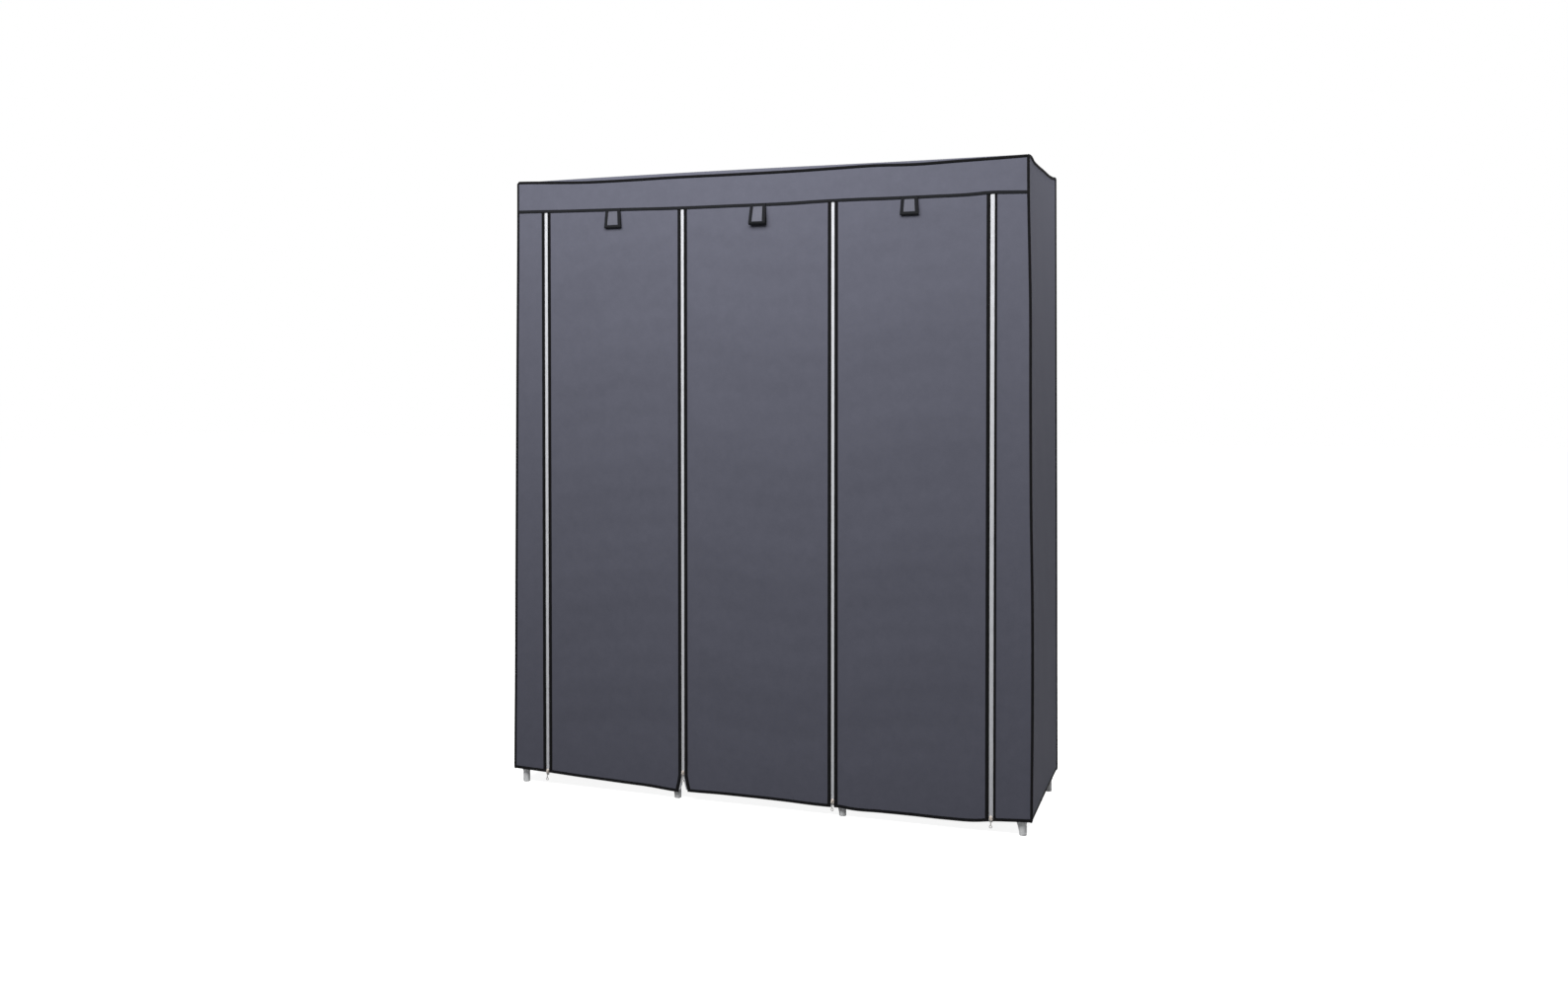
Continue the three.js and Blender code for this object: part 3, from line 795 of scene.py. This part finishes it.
def cover_side(side, name):
    grid = side_grid(side)
    cloth = cover_piece(f"{name}_side_cloth", grid, [f"{name}_side_panel"])
    outward = np.array([side, 0, 0])
    hem = edge_piece(f"{name}_side_hem_binding", hemmed(grid[0], outward))
    ends = [(y, float(interpolated(SIDE_HEM, y)) - PIPING_DROP) for y in (CORNER_FRONT, CORNER_BACK)]
    pipes = [cord_of(corner(side, y, low), PIPING, (0, -1, 0)) for y, low in ends]
    piping = edge_piece(f"{name}_side_piping", [*pipes, cord_of(roof_end(side), PIPING, outward)])


cover_side(-1, "left")
cover_side(1, "right")

back = back_grid()
back_cloth = cover_piece("back_cloth", back, ["back_panel"])
back_hem = edge_piece("back_hem_binding", hemmed(back[0], (0, 1, 0)))
rear_piping = edge_piece("rear_top_piping", [cord_of(roof[-1][::-1], PIPING, (0, 1, 0))])

front_piping = edge_piece("front_top_piping", [cord_of(roof[0], FRONT_PIPING_RADIUS, (0, -1, 0))])


# Front: header, strips, doors and zips

def header_grid():
    x = spaced(-SIDE, SIDE, 0.016)
    share = np.linspace(0, 1, 12)[:, None]
    across, z = panel(x, header_edge(x), front_piping_height(x), share)
    slack = PANEL_SLACK * 0.4 * (1 + waves(across, z, 0.26, 21)) * np.sin(share * pi)
    return stacked(across + lean(across, z), FRONT - HEADER_PROUD + slack, z)


header = header_grid()
header_cloth = cover_piece("header_cloth", header, ["header_band"])
header_hem = hemmed(header[0], (0, -1, 0), HEADER_BINDING_WIDTH)
# The header's binding takes the edge ribbon painted lighter, as painted light from above
header_binding = edge_piece("header_binding", header_hem, ribbon=EDGING_PAINTED_LIGHTER)


def zip_levels():
    straight = spaced(0.12, TUCK_CURVE - 0.01, 0.05)
    return np.concatenate([np.linspace(ZIP_LOW, 0.1, 16), straight, spaced(TUCK_CURVE, TUCK_TOP, 0.003)])


def binding_ribbons(zip_number, side, low, high=TUCK_TOP):
    """A ribbon in front and one behind, with the cloth's edge and the tape between them."""
    z = zip_levels()
    z = np.concatenate([[low], z[(z > low + 0.002) & (z < high - 0.002)], [high]])
    path = front_place(ZIPS[zip_number] + side * ZIP_SHOWN[zip_number] / 2, z)
    # Along an upward path, right is towards -X
    width = LAST_BINDING_WIDTH if (zip_number, side) == (3, 1) else ZIP_BINDING_WIDTH
    start, end = (0, width) if side < 0 else (-width, 0)
    front = chamfered((start, SLOT_GAP), (end, SLOT_GAP + BINDING), RIBBON_EDGE)
    back = -CLOTH - SLOT_GAP
    behind = chamfered((start, back - BINDING), (end, back), RIBBON_EDGE)
    middle = (start + end) / 2
    up = (0, -1, 0)
    rows = [stitches(path, up, middle + offset, SLOT_GAP + BINDING) for offset in (-width * 0.3, width * 0.3)]
    return [sweep(path, front, up), sweep(path, behind, up), *rows]


def cloth_edge(zip_number, side):
    return ZIPS[zip_number] + side * (ZIP_SHOWN[zip_number] / 2 + TAPE_HIDDEN + SLOT_GAP)


def front_hem_height(x):
    return interpolated(FRONT_HEM, x)


def front_hem(start, end):
    """The hem's ribbon goes round the cloth's edge and the ends of the ribbons beside the zips."""
    x = spaced(start, end, 0.008)
    path = front_place(x, front_hem_height(x) - SLOT_GAP)
    return hemmed(path, (0, -1, 0), over=BINDING + SLOT_GAP)


def zip_edge(zip_number, side):
    return ZIPS[zip_number] + side * (ZIP_SHOWN[zip_number] / 2 - SLOT_GAP)


def front_strip(name, side, zip_number):
    inner, outer = cloth_edge(zip_number, side), side * SIDE
    x = spaced(min(inner, outer), max(inner, outer), 0.008)
    share = np.concatenate([np.linspace(0, 0.97, 110)[:-1], np.linspace(0.97, 1, 17)])[:, None]
    across, z = panel(x, front_hem_height(x), TUCK_TOP, share)
    grid = front_place(across, z)
    calm = np.sin((across - x[0]) / (x[-1] - x[0]) * pi) * np.sin(share * pi) ** 0.4
    grid[..., 1] += PANEL_SLACK * 0.8 * (1 + waves(across * 0.5, z, 0.4, 31 + side)) * calm
    cloth = cover_piece(f"{name}_front_strip_cloth", grid, [f"{name}_front_strip"])
    ribbons = binding_ribbons(zip_number, side, float(front_hem_height(inner)))
    binding = edge_piece(f"{name}_front_strip_binding", ribbons)
    ends = sorted((zip_edge(zip_number, side), outer))
    hem = edge_piece(f"{name}_front_strip_hem_binding", front_hem(*ends))


front_strip("left", -1, 0)
front_strip("right", 1, 3)


def door_grid(index):
    low_x, high_x = cloth_edge(index, 1), cloth_edge(index + 1, -1)
    x = spaced(low_x, high_x, 0.012)
    share = np.linspace(0, 1, DOOR_FOOT_ROWS + 1)[:, None]
    _, foot = panel(x, front_hem_height(x) + SLOT_GAP, DOOR_SPLIT, share)
    bend = TUCK_CURVE - 0.01
    curtain = np.concatenate([np.linspace(DOOR_SPLIT, bend, 180)[1:-1], spaced(bend, TUCK_TOP, 0.003)])
    z = np.concatenate([foot, np.broadcast_to(curtain[:, None], (len(curtain), len(x)))])
    across = np.broadcast_to(x, z.shape)
    grid = front_place(across, z)
    inside = np.minimum(across - low_x, high_x - across)
    ends = smoothstep((z - DOOR_SPLIT - 0.005) / 0.12) * smoothstep((HEADER_EDGE[-1][1] - z) / 0.1)
    calm = smoothstep(inside / 0.05) * ends
    slant = 0.1 * np.sin(across * 5 + index)
    folds = 1 + np.sin(2 * pi * (z + slant) / DOOR_FOLD_PITCH + index * 2.1)
    creases = 1 + np.sin(2 * pi * (z + 0.4 * slant) / DOOR_CREASE_PITCH + index)
    grid[..., 1] += (DOOR_FOLD * folds + DOOR_CREASE * creases) * calm
    return grid


def rolls_up(piece):
    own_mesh(piece)


def door(index, name):
    """A curtain with bound edges, and its foot with the bound hem."""
    grid = door_grid(index)
    body, hem_nodes = f"{name}_door", [f"{name}_door_hem"]
    cloth = cover_piece(f"{name}_door_cloth", grid[DOOR_FOOT_ROWS:], [f"{name}_door_curtain"])
    foot = cover_piece(f"{name}_door_foot_cloth", grid[:DOOR_FOOT_ROWS + 1], hem_nodes, body)
    bindings = []
    ribbon = front_hem(zip_edge(index, 1), zip_edge(index + 1, -1))
    for side, zip_number, place in ((1, index, "left"), (-1, index + 1, "right")):
        low = float(front_hem_height(cloth_edge(zip_number, side)))
        ribbons = binding_ribbons(zip_number, side, DOOR_SPLIT)
        bindings.append(edge_piece(f"{name}_door_{place}_binding", ribbons))
        ribbon += binding_ribbons(zip_number, side, low, DOOR_SPLIT)
    hem = edge_piece(f"{name}_door_hem_binding", ribbon, hem_nodes, body)
    for piece in (cloth, *bindings):
        rolls_up(piece)
    return cloth


curtains = {name: door(index, name) for index, name in enumerate(DOORS)}


def zip_part(name, zip_number, side, low, high, body, nodes):
    """A stretch of half a zip: its woven tape, its row of nylon teeth and, at the bottom, its stop."""
    middle, half = ZIPS[zip_number], ZIP_SHOWN[zip_number] / 2
    hem = float(front_hem_height(middle + side * half))
    z = np.concatenate([zip_levels(), [hem + 0.0004, hem + 0.001, low, high]])
    z = np.unique(z[(z >= low) & (z <= high)])
    shown = half - 2 * SLOT_GAP
    end = np.minimum(shown, shown - (ZIP_LOW + TAPE_CUT - z))
    edge = np.where(z > hem + 0.0006, half + TAPE_HIDDEN, end)
    x = middle + side * stacked(TAPE_START, TAPE_UNDER_TEETH, edge)
    grid = front_place(x if side > 0 else x[:, ::-1], z[:, None], -SLOT_GAP)
    level = np.arange(ZIP_LOW + TEETH_START, TUCK_TOP - TEETH_END, TOOTH_PITCH)
    level = level + (TOOTH_PITCH / 2 if side > 0 else 0)
    level = level[(level >= low) & (level < high)]
    centres = front_place(middle + side * TOOTH_ASIDE, level, -TOOTH_DEPTH)
    out = np.array([0, -1, 0])
    along = unit(np.gradient(centres, axis=0))
    size = (TOOTH_LENGTH, TOOTH_PITCH * TOOTH_SHARE, TOOTH_THICK)
    blocks = [many_blocks(centres, unit(np.cross(along, out)), along, out, size)]
    if low == ZIP_LOW:
        stop = front_place([middle + side * STOP_PLACE[0]], [ZIP_LOW + STOP_PLACE[1]], -TOOTH_DEPTH)
        blocks.append(many_blocks(stop, (1, 0, 0), (0, 0, 1), out, STOP_SIZE))
    tape = add_piece(f"{name}_tape", [sheet(grid, TAPE)], TAPE_CLOTH, body, nodes)
    return tape, add_piece(f"{name}_teeth", blocks, COIL, body, nodes)


def zip_half(zip_number, side, place):
    """Half a zip, in one piece on a fixed strip, and on a door in two, as the door is."""
    name, nodes = f"zip_{zip_number + 1}_{place}", [f"zip_tape_{zip_number + 1}"]
    door_index = zip_number - 1 if side < 0 else zip_number
    on_door = 0 <= door_index < len(DOORS)
    start = DOOR_SPLIT if on_door else ZIP_LOW
    tape, coil = zip_part(name, zip_number, side, start, TUCK_TOP, COVER_BODY, nodes)
    if on_door:
        door_name = DOORS[door_index]
        rolls_up(tape)
        rolls_up(coil)
        foot = zip_part(f"{name}_foot", zip_number, side, ZIP_LOW, DOOR_SPLIT, f"{door_name}_door", ())


for zip_number in range(len(ZIPS)):
    zip_half(zip_number, -1, "left")
    zip_half(zip_number, 1, "right")


# Sliders and pulls: outlines in (x, z) and (out, z), and faces along Y

SLIDER_OUTLINE = (
    (-0.0026, 0.006), (-0.0034, 0.0054), (-0.0038, 0.0036), (-0.0041, 0.0008), (-0.0046, -0.0022),
    (-0.0046, -0.0044), (-0.004, -0.0056), (-0.0028, -0.006), (-0.001, -0.0056), (0.001, -0.0056),
    (0.0028, -0.006), (0.004, -0.0056), (0.0046, -0.0044), (0.0046, -0.0022), (0.0041, 0.0008),
    (0.0038, 0.0036), (0.0034, 0.0054), (0.0026, 0.006),
)
SLIDER_POST = ((-0.0006, -0.0056), (0.0006, -0.0056), (0.0006, -0.0014), (0.0002, -0.001),
               (-0.0002, -0.001), (-0.0006, -0.0014))
PLATE_FRONT = (-0.0017, -0.0004)
PLATE_BACK = (0.0018, 0.003)
POST_SUNK = 0.0002
BRIDGE = ((0.0015, 0.0034), (0.003, 0.0031), (0.0042, 0.0018), (0.0044, 0), (0.0042, -0.0018),
          (0.003, -0.0031), (0.0015, -0.0034))
PULL_RING = 0.0033
PULL_RING_REACH = 0.0042
PULL_BAR = 0.0008
PULL_NECK_TOP = -0.01


def slider(number):
    """Two plates round the tapes, joined by a post, with a bridge for the pull."""
    node = f"zip_slider_{number}"
    x, _, z = middle_of(node)
    plates = [plate(SLIDER_OUTLINE, *faces, 0.0004) for faces in (PLATE_FRONT, PLATE_BACK)]
    post = plate(SLIDER_POST, PLATE_FRONT[1] - POST_SUNK, PLATE_BACK[0] + POST_SUNK, 0.0001)
    arch = np.array([(0, -out, up) for out, up in BRIDGE])
    bridge = sweep(arch, oval(0.002, 0.0009, 10), unit(arch - (0, -0.001, 0)))
    parts = [placed(part, (x, curtain_face, z)) for part in (*plates, post, bridge)]
    add_piece(f"{node}_body", parts, NICKEL, f"slider_{number}", [node], 40)


def pull(number):
    """A bar under the bridge, two arms that meet in a neck, and a ring."""
    node = f"zip_pull_{number}"
    joint = next(j for j in frame["joints"] if j["name"] == f"pull_swing_{number}")
    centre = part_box(node)[0].z - joint["pos_m"][2] + PULL_RING_REACH
    ring = placed(ringed(oval(0.0018, 0.0013, 10) + (PULL_RING, 0), 32), (0, 0, centre), "y")
    top, low = PULL_NECK_TOP, centre + PULL_RING
    up = (0, -1, 0)
    neck = [(0, 0, low - 0.0004), (0, 0, (low + top) / 2), (0, 0, top + 0.0012)]
    parts = [ring, sweep(neck, oval(0.0026, 0.0013), up)]
    for side in (-1, 1):
        arm = [(side * 0.0003, 0, top), (side * 0.0012, 0, top + 0.0016), (side * 0.002, 0, top + 0.0036),
               (side * 0.0021, 0, -0.0035), (side * 0.0021, 0, 0)]
        parts.append(sweep(arm, oval(0.0016, 0.0013), up))
    parts.append(sweep([(-0.0029, 0, 0), (0, 0, 0), (0.0029, 0, 0)], circle(PULL_BAR, 14), (0, 0, 1)))
    parts = [placed(part, joint["pos_m"]) for part in parts]
    add_piece(f"{node}_ring", parts, PULL_NICKEL, f"pull_{number}", [node], 40)


for number in range(1, 5):
    slider(number)
    pull(number)


# Straps

def strap_loop(name, node, centre):
    """A strap's line from its seam down its back, round the fold and up its front, and its outer side."""
    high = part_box(node)[1]
    top = min(high.z - 0.0006, float(header_edge(centre)) + HEADER_BINDING_WIDTH - 0.0005)
    bottom, rear = STRAP_LOW[name], high.y - STRAP_BEHIND
    fold = (STRAP_FOLD + STRAP_BULGE[name]) / 2
    down = np.linspace(top, bottom + fold, 22)
    turns = np.linspace(0, pi, 15)[1:-1]
    up = np.linspace(bottom + fold, top, STRAP_ROWS)
    depth = STRAP_THICK + (2 * fold - STRAP_THICK) * smoothstep((top - up) / (top - bottom)) ** 0.9
    line = np.concatenate([
        stacked(rear, down),
        stacked(rear - fold + fold * np.cos(turns), bottom + fold - fold * np.sin(turns)),
        stacked(rear - depth, up),
    ])
    tangent = unit(np.gradient(line, axis=0))
    return line, stacked(-tangent[:, 1], tangent[:, 0])


def oriented(grid, outward):
    """The same grid with its columns turned so that its outer face looks outwards."""
    normal = np.cross(np.gradient(grid, axis=1), np.gradient(grid, axis=0))
    middle = len(outward) // 2
    facing = normal[middle, grid.shape[1] // 2, 1:] @ outward[middle]
    return grid if facing > 0 else grid[:, ::-1]


def strap(name):
    """A short loop of webbing with bound edges and a bound fold, sewn under the header's binding."""
    node, body = f"{name}_door_strap", f"{name}_strap"
    centre = middle_of(node)[0] + STRAP_ASIDE[name]
    line, outward = strap_loop(name, node, centre)
    top = line[0, 1]
    share = np.clip((top - line[:, 1]) / (top - STRAP_LOW[name]), 0, 1)
    narrow, wide = STRAP_HALF[name]
    half = narrow + (wide - narrow) * share
    across = np.linspace(-1, 1, 13)

    def face(height, rows=slice(None), width=1.0):
        """The strap's face raised by a height, over some of its rows."""
        grid = np.zeros((len(line[rows]), len(across), 3))
        grid[..., 0] = centre + (half[rows] * width)[:, None] * across
        grid[..., 1:] = (line[rows] + outward[rows] * height)[:, None]
        return oriented(grid, outward[rows])

    webbing = [sheet(face(0), STRAP_CLOTH)]
    cloth = add_piece(f"{name}_strap_webbing", webbing, WEBBING, body, [node])
    up = stacked(0, *outward.T)
    edges = []
    for side in (-1, 1):
        path = stacked(centre + side * half, *line.T)
        section = folded_section(STRAP_EDGE, STRAP_CLOTH)
        if side * frames(path, up)[1][len(line) // 2, 0] > 0:
            section = [(-u, v) for u, v in section][::-1]
        edges.append(sweep(path, section, up))
    front_half = np.arange(len(line)) > len(line) - STRAP_ROWS
    seam = header_edge(centre) - STRAP_SEAM_DROP
    for covered in (line[:, 1] < STRAP_LOW[name] + STRAP_FOOT, (line[:, 1] > seam) & front_half):
        found = np.nonzero(covered)[0]
        rows = slice(found[0], found[-1] + 1)
        edges.append(sheet(face(BINDING * 1.6, rows, 1.01), BINDING * 1.4))
    # The strap's bindings take the edge ribbon painted lighter, as painted light from above
    binding = edge_piece(f"{name}_strap_binding", edges, [node], body, EDGING_PAINTED_LIGHTER)


for name in DOORS:
    strap(name)


# Frame: feet, tubes, connectors, shelves and rails

FOOT_PROFILE = (
    (0, 0), (0.0086, 0), (0.0095, 0.0008), (0.0097, 0.004), (0.0098, 0.03), (0.0101, 0.032),
    (0.0121, 0.0362), (0.0125, 0.0375), (0.0125, 0.0432), (0.0121, 0.0442), (0.0107, 0.0472),
    (JOINER_RADIUS, 0.0485), (JOINER_RADIUS, 0.0765), (JOINER_RADIUS, 0.0785), (JOINER_RADIUS, 0.1092),
    (0.0099, 0.11), (0, 0.11),
)
FOOT_RINGS = (0.008, 0.0135, 0.019, 0.0245)
FOOT_RING = (0.0022, 0.0005)
FOOT_RIBS = 14
FOOT_RIB_DEPTH = 0.00025
FOOT_RIB_TOP = 0.0315
FOOT_GUSSET = ((0.0, 0.0), (0.009, 0.0), (0.036, 0.007), (0.046, 0.0088), (0.0765, 0.0088),
               (0.0785, 0.0), (0.2, 0.0))
PIN_RADIUS = 0.0063
CLIP_WIDTH = 0.0168
CLIP_ASIDE = 0.011
PEG_RADIUS = 0.0069
PEG_REACH = 0.0355
BASE_CROSS = middle_of("base_cross_tube_1")[2]
TOP_CROSS = middle_of("top_cross_tube_1")[2]
BASE_ROD = middle_of("middle_base_shelf")[2]
POSTS = [middle_of(f"front_post_{n}")[0] for n in range(1, 5)]
POST_FRONT = middle_of("front_post_1")[1]
POST_BACK = -POST_FRONT + middle_of("base_cross_tube_1")[1] * 2
TUBE_RADIUS = (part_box("front_post_1")[1].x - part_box("front_post_1")[0].x) / 2
POST_LOW, POST_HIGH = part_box("front_post_1")[0].z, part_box("front_post_1")[1].z
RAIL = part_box("top_front_rail")[1].z - TUBE_RADIUS


def tube(length):
    """A thin tube along Z with rolled ends, from zero."""
    bore = TUBE_RADIUS - TUBE_WALL
    return ringed(chamfered((bore, 0), (TUBE_RADIUS, length), TUBE_WALL * 0.35), 32)


def peg(start=0.0104, boss=0.0092):
    """A flat boss with a peg that a tube is pushed onto, along Z."""
    return turned([
        (0, 0), (boss, 0), (boss, start - 0.0003), (boss - 0.0004, start), (PEG_RADIUS, start),
        (PEG_RADIUS, PEG_REACH - 0.0006), (PEG_RADIUS - 0.0006, PEG_REACH), (0, PEG_REACH),
    ], 28)


def ribbed(shape, gusset):
    """The leg's lower part drawn in between its ribs and rings, with a gusset under a rod on its left."""
    points, faces = shape
    points = points.copy()
    radius = np.hypot(points[:, 0], points[:, 1])
    turn = np.arctan2(points[:, 1], points[:, 0])
    fade = smoothstep((FOOT_RIB_TOP - points[:, 2]) / 0.002) * smoothstep(points[:, 2] / 0.003)
    groove = FOOT_RIB_DEPTH * (0.5 + 0.5 * np.cos(turn * FOOT_RIBS)) ** 2 * fade
    for height in FOOT_RINGS:
        groove = groove + FOOT_RING[1] * np.clip(1 - np.abs(points[:, 2] - height) / FOOT_RING[0] * 2, 0, 1)
    scale = np.where(radius > 0.001, 1 - groove / np.maximum(radius, 0.001), 1)
    points[:, :2] *= scale[:, None]
    if gusset:
        heights, reaches = zip(*FOOT_GUSSET)
        sideways = np.maximum(-np.cos(turn), 0) ** 1.2 * (radius > 0.001)
        points[:, 0] -= np.interp(points[:, 2], heights, reaches) * sideways
    return points, faces


def foot(row, y, inward):
    profile = list(FOOT_PROFILE)
    levels = spaced(FOOT_PROFILE[3][1], FOOT_PROFILE[4][1], FOOT_RING[0] / 4)[1:-1]
    profile[4:4] = [(0.00975, float(level)) for level in levels]
    x = POSTS[row]
    pin = turned([(0, 0), (PEG_RADIUS, 0), (PEG_RADIUS, 0.0494), (PIN_RADIUS, 0.05), (0, 0.05)], 28)
    parts = [placed(ribbed(turned(profile, 60), row > 0), (x, y, 0)),
             placed(peg(), (x, y, BASE_CROSS), "y", inward), placed(pin, (x, y, 0.085))]
    return parts + side_pegs(row, y, BASE_ROD)


def side_pegs(row, y, height, **shape):
    """A peg to the left and to the right, where another post stands there."""
    turns = [turn for turn, there in ((-1, row > 0), (1, row < len(POSTS) - 1)) if there]
    return [placed(peg(**shape), (POSTS[row], y, height), "x", turn) for turn in turns]


def frame_piece(name, parts, material, nodes):
    return add_piece(name, parts, material, COVER_BODY, nodes, 40)


for row, x in enumerate(POSTS):
    number = row + 1
    upright = tube(POST_HIGH - POST_LOW)
    for end, y, inward, footed in (("front", POST_FRONT, 1, "foot"), ("rear", POST_BACK, -1, "post")):
        moulding = foot(row, y, inward)
        frame_piece(f"{end}_foot_{number}_moulding", moulding, PLASTIC, [f"{end}_{footed}_{number}"])
        frame_piece(f"{end}_post_{number}_tube", [placed(upright, (x, y, POST_LOW))], TUBE,
                    [f"{end}_post_{number}"])
    for level, height in (("base", BASE_CROSS), ("top", TOP_CROSS)):
        node = f"{level}_cross_tube_{number}"
        low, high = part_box(node)
        frame_piece(f"{node}_steel", [placed(tube(high.y - low.y), (x, low.y, height), "y")], TUBE, [node])


def top_rail(name, y, inward):
    node = f"top_{name}_rail"
    below, above = -0.04, 0.006
    turns = np.linspace(0, pi / 2, 9)[:-1]
    dome = [(JOINER_RADIUS * cos(t), above - JOINER_DOME * (1 - sin(t))) for t in turns]
    sleeve = [(0, below), (0.0099, below), (JOINER_RADIUS, below + 0.0006), *dome, (0, above)]
    pin = [(0, -0.065), (PIN_RADIUS, -0.065), (PEG_RADIUS, -0.0644), (PEG_RADIUS, -0.03), (0, -0.03)]
    joiners, tubes = [], []
    for row, x in enumerate(POSTS):
        joiners += [placed(turned(sleeve), (x, y, RAIL)), placed(turned(pin, 28), (x, y, RAIL)),
                    placed(peg(), (x, y, TOP_CROSS), "y", inward), *side_pegs(row, y, RAIL, boss=RAIL_BOSS)]
        if row < len(POSTS) - 1:
            start, end = x + JOINER_RADIUS + TUBE_GAP, POSTS[row + 1] - JOINER_RADIUS - TUBE_GAP
            tubes.append(placed(tube(end - start), (start, y, RAIL), "x"))
    frame_piece(f"{node}_joiners", joiners, PLASTIC, [node])
    return frame_piece(f"{node}_tubes", tubes, TUBE, [node])


front_rail = top_rail("front", POST_FRONT, 1)
rear_rail = top_rail("rear", POST_BACK, -1)


def clip_ring(width, wall=0.0026):
    """A moulded ring for a tube, about Z with rounded edges, centred on zero."""
    inner = TUBE_RADIUS + TUBE_GAP
    return ringed(chamfered((inner, -width / 2), (inner + wall, width / 2), 0.0006), 36)


def shelf(node, clipped):
    """A cloth with a sleeve along its front and rear edge, held by a rod in each sleeve."""
    middle, _, height = middle_of(node)
    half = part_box(node)[1].x - middle
    rod_half = half - CLIP_ASIDE if clipped else half
    cloth_half = rod_half - (0.0005 if clipped else 0.002)
    around = np.linspace(-SHELF_SEAM, pi / 2, 15)
    reach = TUBE_RADIUS + SHELF_CLOTH
    lines = [(POST_FRONT - cos(t) * reach, height + sin(t) * reach) for t in around]
    span = spaced(POST_FRONT, POST_BACK, 0.02)[1:-1]
    share = (span - POST_FRONT) / (POST_BACK - POST_FRONT)
    lines += [(y, height + reach - SHELF_SAG * 4 * s * (1 - s)) for y, s in zip(span, share)]
    lines += [(POST_BACK + cos(t) * reach, height + sin(t) * reach) for t in around[::-1]]
    x = middle + spaced(-cloth_half, cloth_half, 0.02)
    grid = np.zeros((len(lines), len(x), 3))
    grid[..., 0] = x
    grid[..., 1:] = np.array(lines)[:, None]
    parts = [sheet(grid, SHELF_CLOTH - 0.0001)]
    cloth = add_piece(f"{node}_cloth", parts, SHELF, COVER_BODY, [node])
    rods = [placed(tube(rod_half * 2), (middle - rod_half, y, height), "x") for y in (POST_FRONT, POST_BACK)]
    rod_piece = frame_piece(f"{node}_rods", rods, TUBE, [node])
    if clipped:
        clips = []
        stub = turned([(0, 0), (0.0094, 0), (0.0094, 0.005), (0.0088, 0.0056), (0, 0.0056)], 28)
        for side in (-1, 1):
            for y in (POST_FRONT, POST_BACK):
                post_x = middle + side * (half - CLIP_ASIDE)
                clips.append(placed(clip_ring(CLIP_WIDTH), (post_x, y, height)))
                clips.append(placed(stub, (post_x - side * 0.0085, y, height), "x", -side))
        frame_piece(f"{node}_clips", clips, PLASTIC, [node])


for name in DOORS:
    shelf(f"{name}_base_shelf", False)
for level in range(1, 5):
    shelf(f"middle_shelf_{level}", True)


def hanging_rail(name, ends):
    """A rail with a moulded clip at both ends, hung on the top cross tubes."""
    node = f"{name}_hanging_rail"
    y, height = middle_of(node)[1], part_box(node)[0].z + TUBE_RADIUS
    rail = placed(tube(ends[1] - ends[0] + 2 * RAIL_OVER), (ends[0] - RAIL_OVER, y, height), "x")
    frame_piece(f"{node}_tube", [rail], TUBE, [node])
    clips = []
    for x in ends:
        clips.append(placed(clip_ring(0.014, 0.0017), (x, y, TOP_CROSS), "y"))
        clips.append(placed(clip_ring(0.012, 0.002), (x, y, height), "x"))
    frame_piece(f"{node}_clips", clips, PLASTIC, [node])


hanging_rail("left", POSTS[:2])
hanging_rail("right", POSTS[2:])


# Studio

def softbox(name, place, target, size, power):
    data = bpy.data.lights.new(name, "AREA")
    data.shape = "RECTANGLE"
    data.size, data.size_y = size
    data.energy = power
    lamp = linked(name, data)
    lamp.location = place
    away = np.asarray(target) - np.asarray(place)
    yaw = atan2(away[1], away[0]) - pi / 2
    pitch = atan2(away[2], hypot(away[0], away[1])) + pi / 2
    lamp.rotation_euler = (pitch, 0, yaw)
    lamp.visible_camera = False


def show_white(tree, hidden, white, output):
    """The white backdrop for the camera, gloss and glass, and another shader for all other light."""
    path = tree.nodes.new("ShaderNodeLightPath")
    rays = combined("MAXIMUM", path.outputs["Is Camera Ray"], path.outputs["Is Glossy Ray"])
    rays = combined("MAXIMUM", rays, path.outputs["Is Transmission Ray"])
    mix = tree.nodes.new("ShaderNodeMixShader")
    for value, socket in zip((rays, hidden.outputs[0], white.outputs[0]), mix.inputs):
        tree.links.new(value, socket)
    tree.links.new(mix.outputs[0], tree.nodes.new(output).inputs["Surface"])


def emptied(owner):
    owner.use_nodes = True
    owner.node_tree.nodes.clear()
    return owner.node_tree


def studio_world():
    world = bpy.data.worlds.new("studio")
    tree = emptied(world)
    backdrop = with_values(tree.nodes.new("ShaderNodeBackground"), color=(1, 1, 1, 1))
    ambient = with_values(tree.nodes.new("ShaderNodeBackground"), color=AMBIENT_COLOUR, strength=AMBIENT)
    show_white(tree, ambient, backdrop, "ShaderNodeOutputWorld")
    bpy.context.scene.world = world


def floor():
    """A white floor that keeps shadows and sends back only a little light."""
    mesh = bpy.data.meshes.new("studio_floor")
    mesh.from_pydata([(x * FLOOR_HALF, y * FLOOR_HALF, 0) for x, y in ((-1, -1), (1, -1), (1, 1), (-1, 1))],
                     [], [(0, 1, 2, 3)])
    material = bpy.data.materials.new("studio_floor_white")
    tree = emptied(material)
    plain = with_values(tree.nodes.new("ShaderNodeBsdfDiffuse"), color=FLOOR_BOUNCE)
    lit = with_values(tree.nodes.new("ShaderNodeBsdfDiffuse"), color=FLOOR_WHITE)
    glow = with_values(tree.nodes.new("ShaderNodeEmission"), strength=FLOOR_GLOW)
    shown = tree.nodes.new("ShaderNodeAddShader")
    tree.links.new(lit.outputs[0], shown.inputs[0])
    tree.links.new(glow.outputs[0], shown.inputs[1])
    show_white(tree, plain, shown, "ShaderNodeOutputMaterial")
    mesh.materials.append(material)
    linked("studio_floor", mesh)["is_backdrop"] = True


bpy.context.scene.view_settings.view_transform = "Standard"
studio_world()
floor()
for box in SOFTBOXES:
    softbox(*box)

low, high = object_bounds()
